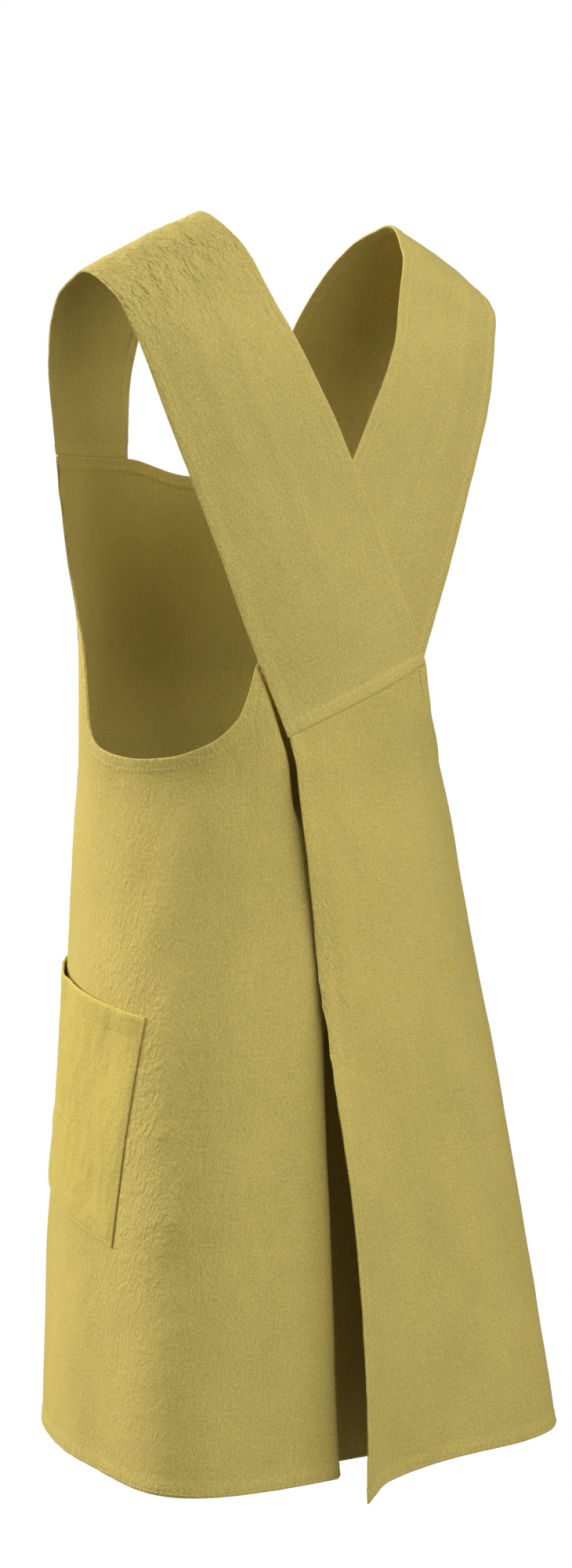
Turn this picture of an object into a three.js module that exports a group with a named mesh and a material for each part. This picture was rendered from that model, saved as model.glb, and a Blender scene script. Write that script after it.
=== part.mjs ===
// Cross back apron, kept in the shape that it has when it is worn.
// Millimetres, +Z up. The wearer faces -Y, and +X is the wearer's left.
// The origin is the middle of the shoulders, at the height where the straps rest.
// Every piece of cloth is a thin closed sheet: a grid of points on the middle of the cloth,
// moved half a thickness out and in.
import * as THREE from 'three';

// Cloth
const BODY_CLOTH = 1.5;
const STRAP_CLOTH = 1.8;
const POCKET_CLOTH = 1.5;
const HEM_EXTRA = 0.5; // a turned edge is this much thicker
const HEM_WIDTH = 9;
const HEM_STEP = 1.2; // width of the slope from a turned edge to the single cloth
const SEAM_GAP = 0.3; // between two pieces that are sewn edge to edge
const LAYER_GAP = 0.6; // between two layers of cloth that lie on each other

// Body of the apron
const HEM_DROP = 888; // shoulder line to hem
const HALF_WIDTH = 181; // at the hem, middle to side
const FRONT_DEPTH = 201; // at the hem, side line to front
const BACK_DEPTH = 135; // at the hem, side line to back
const MIDDLE_SHIFT = 46; // at the hem, shoulder line to side line
const BIB_DROP = 165; // shoulder line to the bib's top edge
const NECK_HALF = 62; // half of the neckline between the straps
const NECK_DIP = 12; // how far the neckline dips in its middle
const OVERLAP = 50; // each back panel passes the middle of the back by this much
const OVERLAP_MIDDLE = 41; // the same, half way down
const FREE_LIFT = 37; // the outer panel's free edge stands off this much near the hem
const UNDER_SINK = 25; // the inner panel falls in by this much near the hem

// Straps
const SHOULDER_HALF = 175; // middle to a strap's outer edge on the shoulder
const SHOULDER_DEPTH = 88; // shoulder line to the strap where it turns down the back
const SEAM_DROP = 368; // shoulder line to the lower end of the seam with the back panel
const SEAM_RISE = 50; // the seam's other end is this much higher
const SEAM_INNER = 50; // the seam's lower end, past the middle of the back
const SEAM_OUTER = 72; // the seam's upper end, from the middle of the back

// Pockets
const POCKET_WIDTH = 182;
const POCKET_HEIGHT = 166;
const POCKET_DROP = 635; // shoulder line to the pocket's middle
const POCKET_AROUND = 0.428; // place of its middle, as a share round the half girth
const POCKET_TILT = 8; // degrees, the back corner lower than the front one
const POCKET_MOUTH = 11; // the mouth gapes by this much
const POCKET_HEM = 25;
const MOUTH_LEAN = 0.85; // below 1, the mouth is widest towards the pocket's front edge
const MOUTH_ROUND = 1.4; // above 1, the mouth closes softly at its ends
const MOUTH_HEIGHT = 0.85; // the gape grows up to this share of the pocket's height

// The body's section at each height. drop is a share of HEM_DROP; side, shift, front and back
// are shares of HALF_WIDTH, MIDDLE_SHIFT, FRONT_DEPTH and BACK_DEPTH. upper_side is used for the
// back alone, where the shoulder blades are wider than the bib. square is the power of the
// rounded outline of the back: 2 is an ellipse, and more is squarer.
const SECTIONS = [
  { drop: 0.03, side: 0.96, upper_side: 1.227, shift: 0.0, front: 0.39, back: 0.689, square: 2.0 },
  { drop: 0.067, side: 0.95, upper_side: 1.227, shift: -0.05, front: 0.43, back: 0.789, square: 2.0 },
  { drop: 0.1, side: 0.94, upper_side: 1.227, shift: -0.1, front: 0.455, back: 0.886, square: 2.0 },
  { drop: 0.134, side: 0.935, upper_side: 1.227, shift: -0.1, front: 0.47, back: 0.918, square: 2.0 },
  { drop: 0.19, side: 0.92, upper_side: 1.19, shift: -0.1, front: 0.48, back: 0.932, square: 2.0 },
  { drop: 0.27, side: 0.85, upper_side: 1.13, shift: -0.07, front: 0.53, back: 0.906, square: 2.05 },
  { drop: 0.335, side: 0.79, upper_side: 0.88, shift: -0.03, front: 0.57, back: 0.883, square: 2.3 },
  { drop: 0.384, side: 0.785, upper_side: 0.785, shift: 0.0, front: 0.6, back: 0.867, square: 2.45 },
  { drop: 0.448, side: 0.785, upper_side: 0.785, shift: 0.0, front: 0.612, back: 0.885, square: 2.1 },
  { drop: 0.516, side: 0.807, upper_side: 0.807, shift: 0.087, front: 0.637, back: 0.941, square: 2.15 },
  { drop: 0.582, side: 0.829, upper_side: 0.829, shift: 0.196, front: 0.682, back: 0.97, square: 2.33 },
  { drop: 0.714, side: 0.884, upper_side: 0.884, shift: 0.435, front: 0.771, back: 1.0, square: 2.8 },
  { drop: 0.848, side: 0.939, upper_side: 0.939, shift: 0.717, front: 0.93, back: 1.0, square: 3.35 },
  { drop: 1.0, side: 1.0, upper_side: 1.0, shift: 1.0, front: 1.0, back: 0.985, square: 4.3 },
];

// The armhole's edge, from the bib's corner round under the arm to the strap. around is a share
// of the half girth (0 front, 0.5 side, 1 back), and fall goes from 0 at the bib's top to 1 at
// the lowest point, ARMHOLE_DROP.
const ARMHOLE_DROP = 384;
const ARMHOLE = [
  { around: 0.372, fall: 0.0 },
  { around: 0.375, fall: 0.25 },
  { around: 0.382, fall: 0.42 },
  { around: 0.395, fall: 0.495 },
  { around: 0.413, fall: 0.545 },
  { around: 0.437, fall: 0.62 },
  { around: 0.451, fall: 0.72 },
  { around: 0.459, fall: 0.82 },
  { around: 0.468, fall: 0.89 },
  { around: 0.486, fall: 0.945 },
  { around: 0.515, fall: 0.973 },
  { around: 0.559, fall: 0.991 },
  { around: 0.61, fall: 1.0 },
  { around: 0.667, fall: 0.993 },
  { around: 0.736, fall: 0.955 },
  { around: 0.796, fall: 0.87 },
];

// How far the two back panels stand off each other at the free edge. drop is a share of
// HEM_DROP, lift of FREE_LIFT, and sink of UNDER_SINK.
const FREE_EDGE = [
  { drop: 0.35, lift: 0.0, sink: 0.0, overlap: 1.0 },
  { drop: 0.42, lift: 0.03, sink: 0.02, overlap: 1.0 },
  { drop: 0.5, lift: 0.24, sink: 0.06, overlap: 0.95 },
  { drop: 0.58, lift: 0.38, sink: 0.1, overlap: 0.8 },
  { drop: 0.605, lift: 0.42, sink: 0.12, overlap: 0.6 },
  { drop: 0.635, lift: 0.54, sink: 0.18, overlap: 0.2 },
  { drop: 0.7, lift: 0.62, sink: 0.36, overlap: 0.0 },
  { drop: 0.78, lift: 0.76, sink: 0.6, overlap: 0.0 },
  { drop: 0.93, lift: 1.0, sink: 0.9, overlap: 0.6 },
  { drop: 1.0, lift: 0.95, sink: 1.0, overlap: 0.7 },
];
const PANEL_START = 0.8; // behind this share of the half girth a panel leans as its edge does
const LAYER_START = 0.74; // the two panels lie in one layer up to here
const LAYER_END = 0.83; // and in two from here on
const LIFT_START = 0.86; // the panels part from here on
const LIFT_POWER = 2.1;

// Soft folds of the body. Each is a rounded ridge, or a hollow where rise is below 0, along a
// line from one place to another. wide is a share of FOLD_WIDTH, and rise of FOLD_RISE.
const FOLD_WIDTH = 40;
const FOLD_RISE = 5;
const FOLD_FADE = 54; // the folds start this far below the armhole's lowest point
const FOLD_MIRROR = 0.3; // a fold this near to the middle of the front also reaches past it
const FOLDS = [
  { side: 'left', from: [0.79, 0.425], to: [0.62, 0.6], wide: 0.55, rise: 0.7 },
  { side: 'left', from: [0.72, 0.5], to: [0.55, 0.68], wide: 0.6, rise: -0.5 },
  { side: 'left', from: [0.86, 0.47], to: [0.8, 0.85], wide: 0.9, rise: -0.7 },
  { side: 'left', from: [0.7, 0.7], to: [0.72, 1.05], wide: 0.9, rise: 0.6 },
  { side: 'right', from: [0.7, 0.72], to: [0.74, 1.05], wide: 0.9, rise: 0.4 },
  { side: 'right', from: [1.03, 0.52], to: [1.045, 0.71], wide: 0.3, rise: -0.5 },
  { side: 'both', from: [0.25, 0.5], to: [0.3, 1.05], wide: 1.0, rise: 1.0 },
  { side: 'both', from: [0.1, 0.55], to: [0.13, 1.05], wide: 1.0, rise: -0.9 },
  { side: 'both', from: [0.0, 0.6], to: [0.0, 1.05], wide: 1.0, rise: 0.35 },
];

// The left strap from the bib over the shoulder to the seam in the back. Each row holds the
// strap's inner edge (nearer the neck) and outer edge. x is a share of SHOULDER_HALF, y of
// SHOULDER_DEPTH, and z of SEAM_DROP, upwards. on_body is 1 where the strap lies on the body's
// surface, which then gives y, and 0 where it bridges the shoulder.
const STRAP_ROWS = [
  { inner: [0.36, -0.95, -0.3], outer: [0.869, -0.56, -0.34], on_body: 0.6 },
  { inner: [0.377, -0.72, -0.182], outer: [0.903, -0.46, -0.262], on_body: 0 },
  { inner: [0.405, -0.36, -0.085], outer: [0.937, -0.3, -0.196], on_body: 0 },
  { inner: [0.434, 0.02, -0.018], outer: [0.966, -0.06, -0.145], on_body: 0 },
  { inner: [0.451, 0.32, 0.006], outer: [0.977, 0.22, -0.12], on_body: 0 },
  { inner: [0.459, 0.574, 0.014], outer: [0.977, 0.455, -0.111], on_body: 0 },
  { inner: [0.411, 0.82, -0.025], outer: [0.949, 0.68, -0.141], on_body: 0 },
  { inner: [0.374, 1.0, -0.082], outer: [0.9, 0.93, -0.207], on_body: 1 },
  { inner: [0.238, 1.28, -0.245], outer: [0.8, 1.1, -0.367], on_body: 1 },
  { inner: [0.067, 1.36, -0.408], outer: [0.663, 1.17, -0.543], on_body: 1 },
  { inner: [-0.171, 1.36, -0.639], outer: [0.486, 1.24, -0.761], on_body: 1 },
];
const STRAP_CROWN = 3; // the strap's middle stands above its edges on the shoulder
const STRAP_LAYER_START = 0.6; // along a strap, the places between which it passes
const STRAP_LAYER_END = 0.72; // over or under the other strap

// Grid steps
const NECK_STEPS = 4;
const BIB_STRAP_STEPS = 5;
const ARMHOLE_STEPS = 28;
const BACK_STEPS = 8;
const DOWN_STEPS = 13;
const STRAP_LONG_STEPS = 30;
const STRAP_WIDE_STEPS = 4;
const POCKET_ACROSS_STEPS = 11;
const POCKET_UP_STEPS = 7;
const QUARTER_STEPS = 40;
const ARMHOLE_SAMPLES = 400;
const SHARE_STEP = 0.0005;
const STEEPEST_BAND = 4; // a hem's rows part by at most this many hem widths on a steep edge

const clamp = (value, low, high) => Math.min(high, Math.max(low, value));
const mix = (a, b, share) => a + (b - a) * share;

function smooth(low, high, value) {
  const t = clamp((value - low) / (high - low), 0, 1);
  return t * t * (3 - 2 * t);
}

// A smooth curve through a table's rows: the value of one column at a place along another.
function column(table, keyName, valueName, key) {
  const last = table.length - 1;
  if (key <= table[0][keyName]) return table[0][valueName];
  if (key >= table[last][keyName]) return table[last][valueName];
  let i = 0;
  while (table[i + 1][keyName] < key) i += 1;
  const change = (name, a, b) => table[b][name] - table[a][name];
  const slope = (a, b) => change(valueName, a, b) / change(keyName, a, b);
  const here = slope(i, i + 1);
  const limit = (before, after) => (before * after <= 0 ? 0 : 2 * before * after / (before + after));
  const startSlope = i > 0 ? limit(slope(i - 1, i), here) : here;
  const endSlope = i < last - 1 ? limit(here, slope(i + 1, i + 2)) : here;
  const span = table[i + 1][keyName] - table[i][keyName];
  const t = (key - table[i][keyName]) / span;
  const t2 = t * t;
  const t3 = t2 * t;
  return table[i][valueName] * (2 * t3 - 3 * t2 + 1) + table[i + 1][valueName] * (3 * t2 - 2 * t3)
    + startSlope * span * (t3 - 2 * t2 + t) + endSlope * span * (t3 - t2);
}

// The outline of the body at one height: half sizes, and a quarter of it as a polyline.
function section(z) {
  const drop = -z / HEM_DROP;
  const at = (name) => column(SECTIONS, 'drop', name, drop);
  return {
    side: HALF_WIDTH * at('side'),
    upperSide: HALF_WIDTH * at('upper_side'),
    shift: MIDDLE_SHIFT * at('shift'),
    front: FRONT_DEPTH * at('front'),
    back: BACK_DEPTH * at('back'),
    square: at('square'),
  };
}

function quarter(side, depth, square) {
  const points = [];
  let length = 0;
  for (let i = 0; i <= QUARTER_STEPS; i += 1) {
    const angle = (Math.PI / 2) * (i / QUARTER_STEPS);
    const x = side * Math.cos(angle) ** (2 / square);
    const y = depth * Math.sin(angle) ** (2 / square);
    if (i > 0) length += Math.hypot(x - points[i - 1].x, y - points[i - 1].y);
    points.push({ x: i === QUARTER_STEPS ? 0 : x, y, length });
  }
  return points;
}

function alongQuarter(points, share) {
  const target = share * points[points.length - 1].length;
  let i = 0;
  while (i < points.length - 2 && points[i + 1].length < target) i += 1;
  const span = points[i + 1].length - points[i].length;
  const t = (target - points[i].length) / span;
  return { x: mix(points[i].x, points[i + 1].x, t), y: mix(points[i].y, points[i + 1].y, t) };
}

const quarterCache = new Map();

function quartersAt(z) {
  const key = z.toFixed(3);
  if (!quarterCache.has(key)) {
    const s = section(z);
    quarterCache.set(key, {
      shift: s.shift,
      front: quarter(s.side, s.front, 2),
      back: quarter(z > -ARMHOLE_DROP ? s.upperSide : s.side, s.back, s.square),
    });
  }
  return quarterCache.get(key);
}

// A point of the body's plain surface on the left half. around runs from 0 at the front over
// 0.5 at the side to 1 at the middle of the back, and past 1 it goes on to the other side.
function onSection(around, z) {
  const q = quartersAt(z);
  if (around < 0.5) {
    const p = alongQuarter(q.front, (0.5 - around) * 2);
    return { x: p.x, y: q.shift - p.y };
  }
  const past = around > 1;
  const p = alongQuarter(q.back, (past ? 2 - around - 0.5 : around - 0.5) * 2);
  return { x: past ? -p.x : p.x, y: q.shift + p.y };
}

const halfGirth = (z) => {
  const q = quartersAt(z);
  return q.front[QUARTER_STEPS].length + q.back[QUARTER_STEPS].length;
};

// y of the body's surface at a given x, at the front (-1) or at the back (1).
function bodyY(x, z, face) {
  const s = section(z);
  const side = face > 0 ? s.upperSide : s.side;
  const square = face > 0 ? s.square : 2;
  const depth = face > 0 ? s.back : s.front;
  const share = clamp(Math.abs(x) / side, 0, 1);
  return s.shift + face * depth * (1 - share ** square) ** (1 / square);
}

// Where a back panel's free edge lies, as a share of the half girth.
function freeAround(z) {
  const reach = mix(OVERLAP_MIDDLE, OVERLAP, column(FREE_EDGE, 'drop', 'overlap', -z / HEM_DROP));
  return 1 + reach / (2 * quartersAt(z).back[QUARTER_STEPS].length);
}

const layerStep = (STRAP_CLOTH + 2 * HEM_EXTRA + LAYER_GAP) / 2;

// The line of the seam between a strap and its back panel, in the panel's own half.
function seamZ(x) {
  return mix(-SEAM_DROP + SEAM_RISE, -SEAM_DROP, (SEAM_OUTER - x) / (SEAM_OUTER + SEAM_INNER));
}

// How far one fold raises the cloth at a place. It falls off beside the fold's line and, more
// slowly, past its ends.
function foldRise(fold, around, z, girth) {
  const ax = fold.from[0] * girth;
  const az = -fold.from[1] * HEM_DROP;
  const dx = fold.to[0] * girth - ax;
  const dz = -fold.to[1] * HEM_DROP - az;
  const px = around * girth - ax;
  const pz = z - az;
  const size = Math.hypot(dx, dz);
  const along = (px * dx + pz * dz) / size;
  const off = (px * dz - pz * dx) / size;
  const wide = FOLD_WIDTH * fold.wide;
  const beyond = Math.max(0, -along, along - size);
  return FOLD_RISE * fold.rise * Math.exp(-((off / wide) ** 2) - (beyond / (2 * wide)) ** 2);
}

function foldsAt(side, around, z) {
  const girth = halfGirth(z);
  const fade = smooth(-ARMHOLE_DROP + HEM_WIDTH, -ARMHOLE_DROP - FOLD_FADE, z);
  let rise = 0;
  for (const fold of FOLDS) {
    if (fold.side !== 'both' && fold.side !== side) continue;
    rise += foldRise(fold, around, z, girth);
    if (around < FOLD_MIRROR) rise += foldRise(fold, -around, z, girth);
  }
  return rise * fade;
}

// A point on the middle of the body's cloth. g is the place round the body, above 0 on the
// wearer's left and below 0 on the right, with its size as in onSection.
function bodyPoint(g, z) {
  const side = g > 0 ? 'left' : 'right';
  const share = Math.abs(g);
  const free = freeAround(z);
  const freeTop = freeAround(-SEAM_DROP);
  const stretch = (free - PANEL_START) / (freeTop - PANEL_START);
  const around = share <= PANEL_START ? share : PANEL_START + (share - PANEL_START) * stretch;
  const p = onSection(around, z);
  const drop = -z / HEM_DROP;
  const reach = clamp((around - LIFT_START) / (free - LIFT_START), 0, 1) ** LIFT_POWER;
  const layered = smooth(LAYER_START, LAYER_END, around) * layerStep;
  const lift = side === 'right'
    ? layered + FREE_LIFT * column(FREE_EDGE, 'drop', 'lift', drop) * reach
    : -layered - UNDER_SINK * column(FREE_EDGE, 'drop', 'sink', drop) * reach;
  const mirror = g > 0 ? 1 : -1;
  return new THREE.Vector3(mirror * p.x, p.y + lift, z);
}

function normalOf(map, u, v, du, dv) {
  const a = map(u + du, v).sub(map(u - du, v));
  const b = map(u, v + dv).sub(map(u, v - dv));
  return a.cross(b).normalize();
}

const AROUND_STEP = 0.002;
const DOWN_STEP = 1;

// Out of the body, for a point of its surface.
function bodyNormal(g, z) {
  return normalOf(bodyPoint, g, z, AROUND_STEP, DOWN_STEP);
}

function foldedBodyPoint(g, z) {
  const share = Math.abs(g);
  const rise = foldsAt(g > 0 ? 'left' : 'right', share, z);
  return bodyPoint(g, z).addScaledVector(bodyNormal(g, z), rise);
}

// The body's top edge: neckline, strap seat, armhole and back seam, by place round the body.
const neckAround = (() => {
  let share = 0;
  while (onSection(share, -BIB_DROP).x < NECK_HALF) share += SHARE_STEP;
  return share;
})();
const bibCorner = ARMHOLE[0].around;
const seamAround = (() => {
  let share = 1;
  while (onSection(share, -SEAM_DROP + SEAM_RISE).x < SEAM_OUTER) share -= SHARE_STEP;
  return share;
})();
const armholeRows = [
  ...ARMHOLE.map((row) => ({ around: row.around, z: -mix(BIB_DROP, ARMHOLE_DROP, row.fall) })),
  { around: seamAround, z: -SEAM_DROP + SEAM_RISE },
];

function topZ(share) {
  if (share < neckAround) return -BIB_DROP - NECK_DIP * (1 - (share / neckAround) ** 2) ** 2;
  if (share < bibCorner) return -BIB_DROP;
  if (share <= seamAround) return column(armholeRows, 'around', 'z', share);
  let z = -SEAM_DROP;
  for (let i = 0; i < 4; i += 1) z = seamZ(onSection(share, z).x);
  return z;
}

// How far below the top edge a line lies that runs along it at the hem's width.
function hemBelow(share) {
  const step = 0.002;
  const low = clamp(share - step, 0, freeAround(-SEAM_DROP));
  const high = clamp(share + step, 0, freeAround(-SEAM_DROP));
  const slope = (topZ(high) - topZ(low)) / ((high - low) * halfGirth(-ARMHOLE_DROP));
  return Math.min(STEEPEST_BAND, Math.hypot(1, slope));
}

// Places round one half, closer together where the armhole is steep.
function halfColumns() {
  const places = [];
  for (let i = 0; i < NECK_STEPS; i += 1) places.push(neckAround * i / NECK_STEPS);
  for (let i = 0; i < BIB_STRAP_STEPS; i += 1) {
    places.push(mix(neckAround, bibCorner, i / BIB_STRAP_STEPS));
  }
  const fine = ARMHOLE_SAMPLES;
  const girth = halfGirth(-ARMHOLE_DROP);
  const lengths = [0];
  for (let i = 1; i <= fine; i += 1) {
    const a = mix(bibCorner, seamAround, (i - 1) / fine);
    const b = mix(bibCorner, seamAround, i / fine);
    lengths.push(lengths[i - 1] + Math.hypot((b - a) * girth, (topZ(b) - topZ(a)) / 2));
  }
  for (let i = 0; i < ARMHOLE_STEPS; i += 1) {
    const target = lengths[fine] * i / ARMHOLE_STEPS;
    let k = 0;
    while (lengths[k + 1] < target) k += 1;
    const t = (target - lengths[k]) / (lengths[k + 1] - lengths[k]);
    places.push(mix(bibCorner, seamAround, (k + t) / fine));
  }
  const free = freeAround(-SEAM_DROP);
  for (let i = 0; i <= BACK_STEPS; i += 1) places.push(mix(seamAround, free, i / BACK_STEPS));
  return places;
}

// Heights down one place: a turned edge at the top, even steps, and a hem at the bottom.
function heightsAt(share) {
  const top = topZ(share);
  const band = share > bibCorner && share < seamAround ? hemBelow(share) : 1;
  const upper = top - HEM_WIDTH * band;
  const upperEnd = upper - HEM_STEP;
  const lower = -HEM_DROP + HEM_WIDTH + HEM_STEP;
  const rows = [top, upper];
  for (let i = 0; i <= DOWN_STEPS; i += 1) rows.push(mix(upperEnd, lower, i / DOWN_STEPS));
  rows.push(-HEM_DROP + HEM_WIDTH, -HEM_DROP);
  return rows;
}

// A closed sheet from a grid of points with normals and half thicknesses.
function sheet(grid) {
  const rows = grid.length;
  const columns = grid[0].length;
  const positions = [];
  const faces = [];
  for (const sign of [1, -1]) {
    for (const row of grid) {
      for (const { point, normal, half } of row) {
        positions.push(...point.clone().addScaledVector(normal, sign * half).toArray());
      }
    }
  }
  const id = (r, c, back) => r * columns + c + (back ? rows * columns : 0);
  const quad = (a, b, c, d) => faces.push(a, b, c, a, c, d);
  for (let r = 0; r < rows - 1; r += 1) {
    for (let c = 0; c < columns - 1; c += 1) {
      quad(id(r, c), id(r, c + 1), id(r + 1, c + 1), id(r + 1, c));
      quad(id(r, c, 1), id(r + 1, c, 1), id(r + 1, c + 1, 1), id(r, c + 1, 1));
    }
  }
  for (let c = 0; c < columns - 1; c += 1) {
    quad(id(0, c), id(0, c, 1), id(0, c + 1, 1), id(0, c + 1));
    quad(id(rows - 1, c), id(rows - 1, c + 1), id(rows - 1, c + 1, 1), id(rows - 1, c, 1));
  }
  for (let r = 0; r < rows - 1; r += 1) {
    quad(id(r, 0), id(r + 1, 0), id(r + 1, 0, 1), id(r, 0, 1));
    quad(id(r, columns - 1), id(r, columns - 1, 1), id(r + 1, columns - 1, 1), id(r + 1, columns - 1));
  }
  const geometry = new THREE.BufferGeometry();
  geometry.setAttribute('position', new THREE.Float32BufferAttribute(positions, 3));
  geometry.setIndex(faces);
  geometry.computeVertexNormals();
  return geometry;
}

// Bib, skirt and both back panels, which are one cloth.
function bodyGeometry() {
  const half = halfColumns();
  const places = [...half.slice(1).reverse().map((share) => -share), ...half];
  const grid = places.map((g) => heightsAt(Math.abs(g)).map((z, i, heights) => {
    const turned = i < 2 || i > heights.length - 3;
    return {
      point: foldedBodyPoint(g, z),
      normal: bodyNormal(g, z),
      half: (BODY_CLOTH + (turned ? HEM_EXTRA : 0)) / 2,
    };
  }));
  return sheet(grid);
}

// A smooth curve through points, by share of the rows from first to last.
function splineRow(values, t) {
  const span = values.length - 1;
  const at = clamp(t, 0, 1) * span;
  const i = Math.min(Math.floor(at), span - 1);
  const f = at - i;
  const a = values[Math.max(i - 1, 0)];
  const b = values[i];
  const c = values[i + 1];
  const d = values[Math.min(i + 2, span)];
  return 0.5 * (2 * b + (c - a) * f + (2 * a - 5 * b + 4 * c - d) * f * f + (3 * b - a - 3 * c + d) * f ** 3);
}

// The strap's rows in millimetres, with both seams from the body's own sizes.
function strapRows() {
  const corner = onSection(bibCorner, -BIB_DROP);
  const toPoint = ([x, y, z]) => [x * SHOULDER_HALF, y * SHOULDER_DEPTH, z * SEAM_DROP];
  const first = {
    inner: [NECK_HALF, bodyY(NECK_HALF, -BIB_DROP, -1), -BIB_DROP + SEAM_GAP],
    outer: [corner.x, corner.y, -BIB_DROP + SEAM_GAP],
    on_body: 1,
  };
  const last = {
    inner: [-SEAM_OUTER, bodyY(SEAM_OUTER, -SEAM_DROP + SEAM_RISE, 1), -SEAM_DROP + SEAM_RISE + SEAM_GAP],
    outer: [SEAM_INNER, bodyY(SEAM_INNER, -SEAM_DROP, 1), -SEAM_DROP + SEAM_GAP],
    on_body: 1,
  };
  const middle = STRAP_ROWS.map((row) => ({
    inner: toPoint(row.inner),
    outer: toPoint(row.outer),
    on_body: row.on_body,
  }));
  return [first, ...middle, last];
}

// A point on the middle of a strap's cloth. across goes from 0 at the inner edge to 1 at the
// outer one, along from 0 at the bib to 1 at the back seam. layer is 1 for the strap that lies
// on top in the back, and -1 for the one below.
function strapPoint(rows, across, along, mirror, layer) {
  const at = (edge, axis) => splineRow(rows.map((row) => row[edge][axis]), along);
  const x = mix(at('inner', 0), at('outer', 0), across);
  const z = mix(at('inner', 2), at('outer', 2), across);
  const free = mix(at('inner', 1), at('outer', 1), across);
  const onBody = clamp(splineRow(rows.map((row) => row.on_body), along), 0, 1);
  const face = along < 0.5 ? -1 : 1;
  const y = mix(free, bodyY(x, Math.min(z, -SECTIONS[0].drop * HEM_DROP), face), onBody);
  const crown = STRAP_CROWN * 4 * across * (1 - across) * (1 - onBody);
  const lift = layer * layerStep * smooth(STRAP_LAYER_START, STRAP_LAYER_END, along);
  return new THREE.Vector3(mirror * x, y + lift + crown * clamp(y / SHOULDER_DEPTH, -1, 1), z + crown);
}

function strapGeometry(mirror, layer) {
  const rows = strapRows();
  const map = (across, along) => strapPoint(rows, across, along, mirror, layer);
  const width = SHOULDER_HALF * (STRAP_ROWS[3].outer[0] - STRAP_ROWS[3].inner[0]);
  const edge = HEM_WIDTH / width;
  const step = (HEM_WIDTH + HEM_STEP) / width;
  const acrossPlaces = [0, edge];
  for (let i = 0; i <= STRAP_WIDE_STEPS; i += 1) {
    acrossPlaces.push(mix(step, 1 - step, i / STRAP_WIDE_STEPS));
  }
  acrossPlaces.push(1 - edge, 1);
  const small = 0.004;
  const grid = [];
  for (let k = 0; k <= STRAP_LONG_STEPS; k += 1) {
    const along = k / STRAP_LONG_STEPS;
    const inside = clamp(along, small, 1 - small);
    grid.push(acrossPlaces.map((across, i) => {
      const turned = i < 2 || i > acrossPlaces.length - 3;
      return {
        point: map(across, along),
        normal: normalOf(map, clamp(across, small, 1 - small), inside, small, small).multiplyScalar(mirror),
        half: (STRAP_CLOTH + (turned ? HEM_EXTRA : 0)) / 2,
      };
    }));
  }
  return sheet(mirror > 0 ? grid : grid.map((row) => [...row].reverse()));
}

// A patch pocket. across and up are shares of its width and height from its front lower corner.
function pocketGeometry(mirror) {
  const tilt = THREE.MathUtils.degToRad(POCKET_TILT);
  const girth = halfGirth(-POCKET_DROP);
  const seat = (BODY_CLOTH + POCKET_CLOTH) / 2 + HEM_EXTRA / 2 + LAYER_GAP;
  const place = (across, up) => {
    const right = (across - 0.5) * POCKET_WIDTH;
    const rise = (up - 0.5) * POCKET_HEIGHT;
    const round = right * Math.cos(tilt) + rise * Math.sin(tilt);
    const height = rise * Math.cos(tilt) - right * Math.sin(tilt);
    return { g: mirror * (POCKET_AROUND + round / girth), z: -POCKET_DROP + height };
  };
  const bulge = (across, up) => (
    POCKET_MOUTH * Math.sin(Math.PI * across ** MOUTH_LEAN) ** MOUTH_ROUND * smooth(0, MOUTH_HEIGHT, up)
  );
  const map = (across, up) => {
    const { g, z } = place(across, up);
    return foldedBodyPoint(g, z).addScaledVector(bodyNormal(g, z), seat + bulge(across, up));
  };
  const ups = [];
  const hemShare = 1 - POCKET_HEM / POCKET_HEIGHT;
  for (let i = 0; i < POCKET_UP_STEPS; i += 1) ups.push(mix(0, hemShare, i / (POCKET_UP_STEPS - 1)));
  ups.push(hemShare + HEM_STEP / POCKET_HEIGHT, 1);
  const small = 0.02;
  const grid = [];
  for (let c = 0; c <= POCKET_ACROSS_STEPS; c += 1) {
    const across = c / POCKET_ACROSS_STEPS;
    grid.push(ups.map((up, i) => ({
      point: map(across, up),
      normal: normalOf(map, clamp(across, small, 1 - small), clamp(up, small, 1 - small), small, small)
        .multiplyScalar(mirror),
      half: (POCKET_CLOTH + (i > ups.length - 3 ? HEM_EXTRA : 0)) / 2,
    })));
  }
  return sheet(mirror > 0 ? grid.map((row) => [...row].reverse()) : grid);
}

function cloth(name, geometry, color) {
  const material = new THREE.MeshStandardMaterial({ color, roughness: 0.9, metalness: 0 });
  const mesh = new THREE.Mesh(geometry, material);
  mesh.name = name;
  return mesh;
}

const apron = new THREE.Group();
apron.add(cloth('apron_body', bodyGeometry(), 0xb5a252));
apron.add(cloth('left_strap', strapGeometry(1, 1), 0xb9a661));
apron.add(cloth('right_strap', strapGeometry(-1, -1), 0xc0ad68));
apron.add(cloth('left_pocket', pocketGeometry(1), 0xcab65f));
apron.add(cloth('right_pocket', pocketGeometry(-1), 0xcab65f));

export default apron;
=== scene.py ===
"""A cross back apron in woven cloth, in the shape that it has when it is worn.

Metres, +Z up. The wearer faces -Y and +X is the wearer's left. The origin is the middle of
the shoulders. Each cloth is a grid of points on its middle surface, with relief for folds,
creases and turned edges, closed by a wall of the cloth's own thickness.
"""
import logging
import math
from dataclasses import dataclass, field
from enum import Enum
from typing import Any, Callable, Sequence, Union

import bmesh
import bpy
import numpy as np
from mathutils import Matrix, Vector


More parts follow.
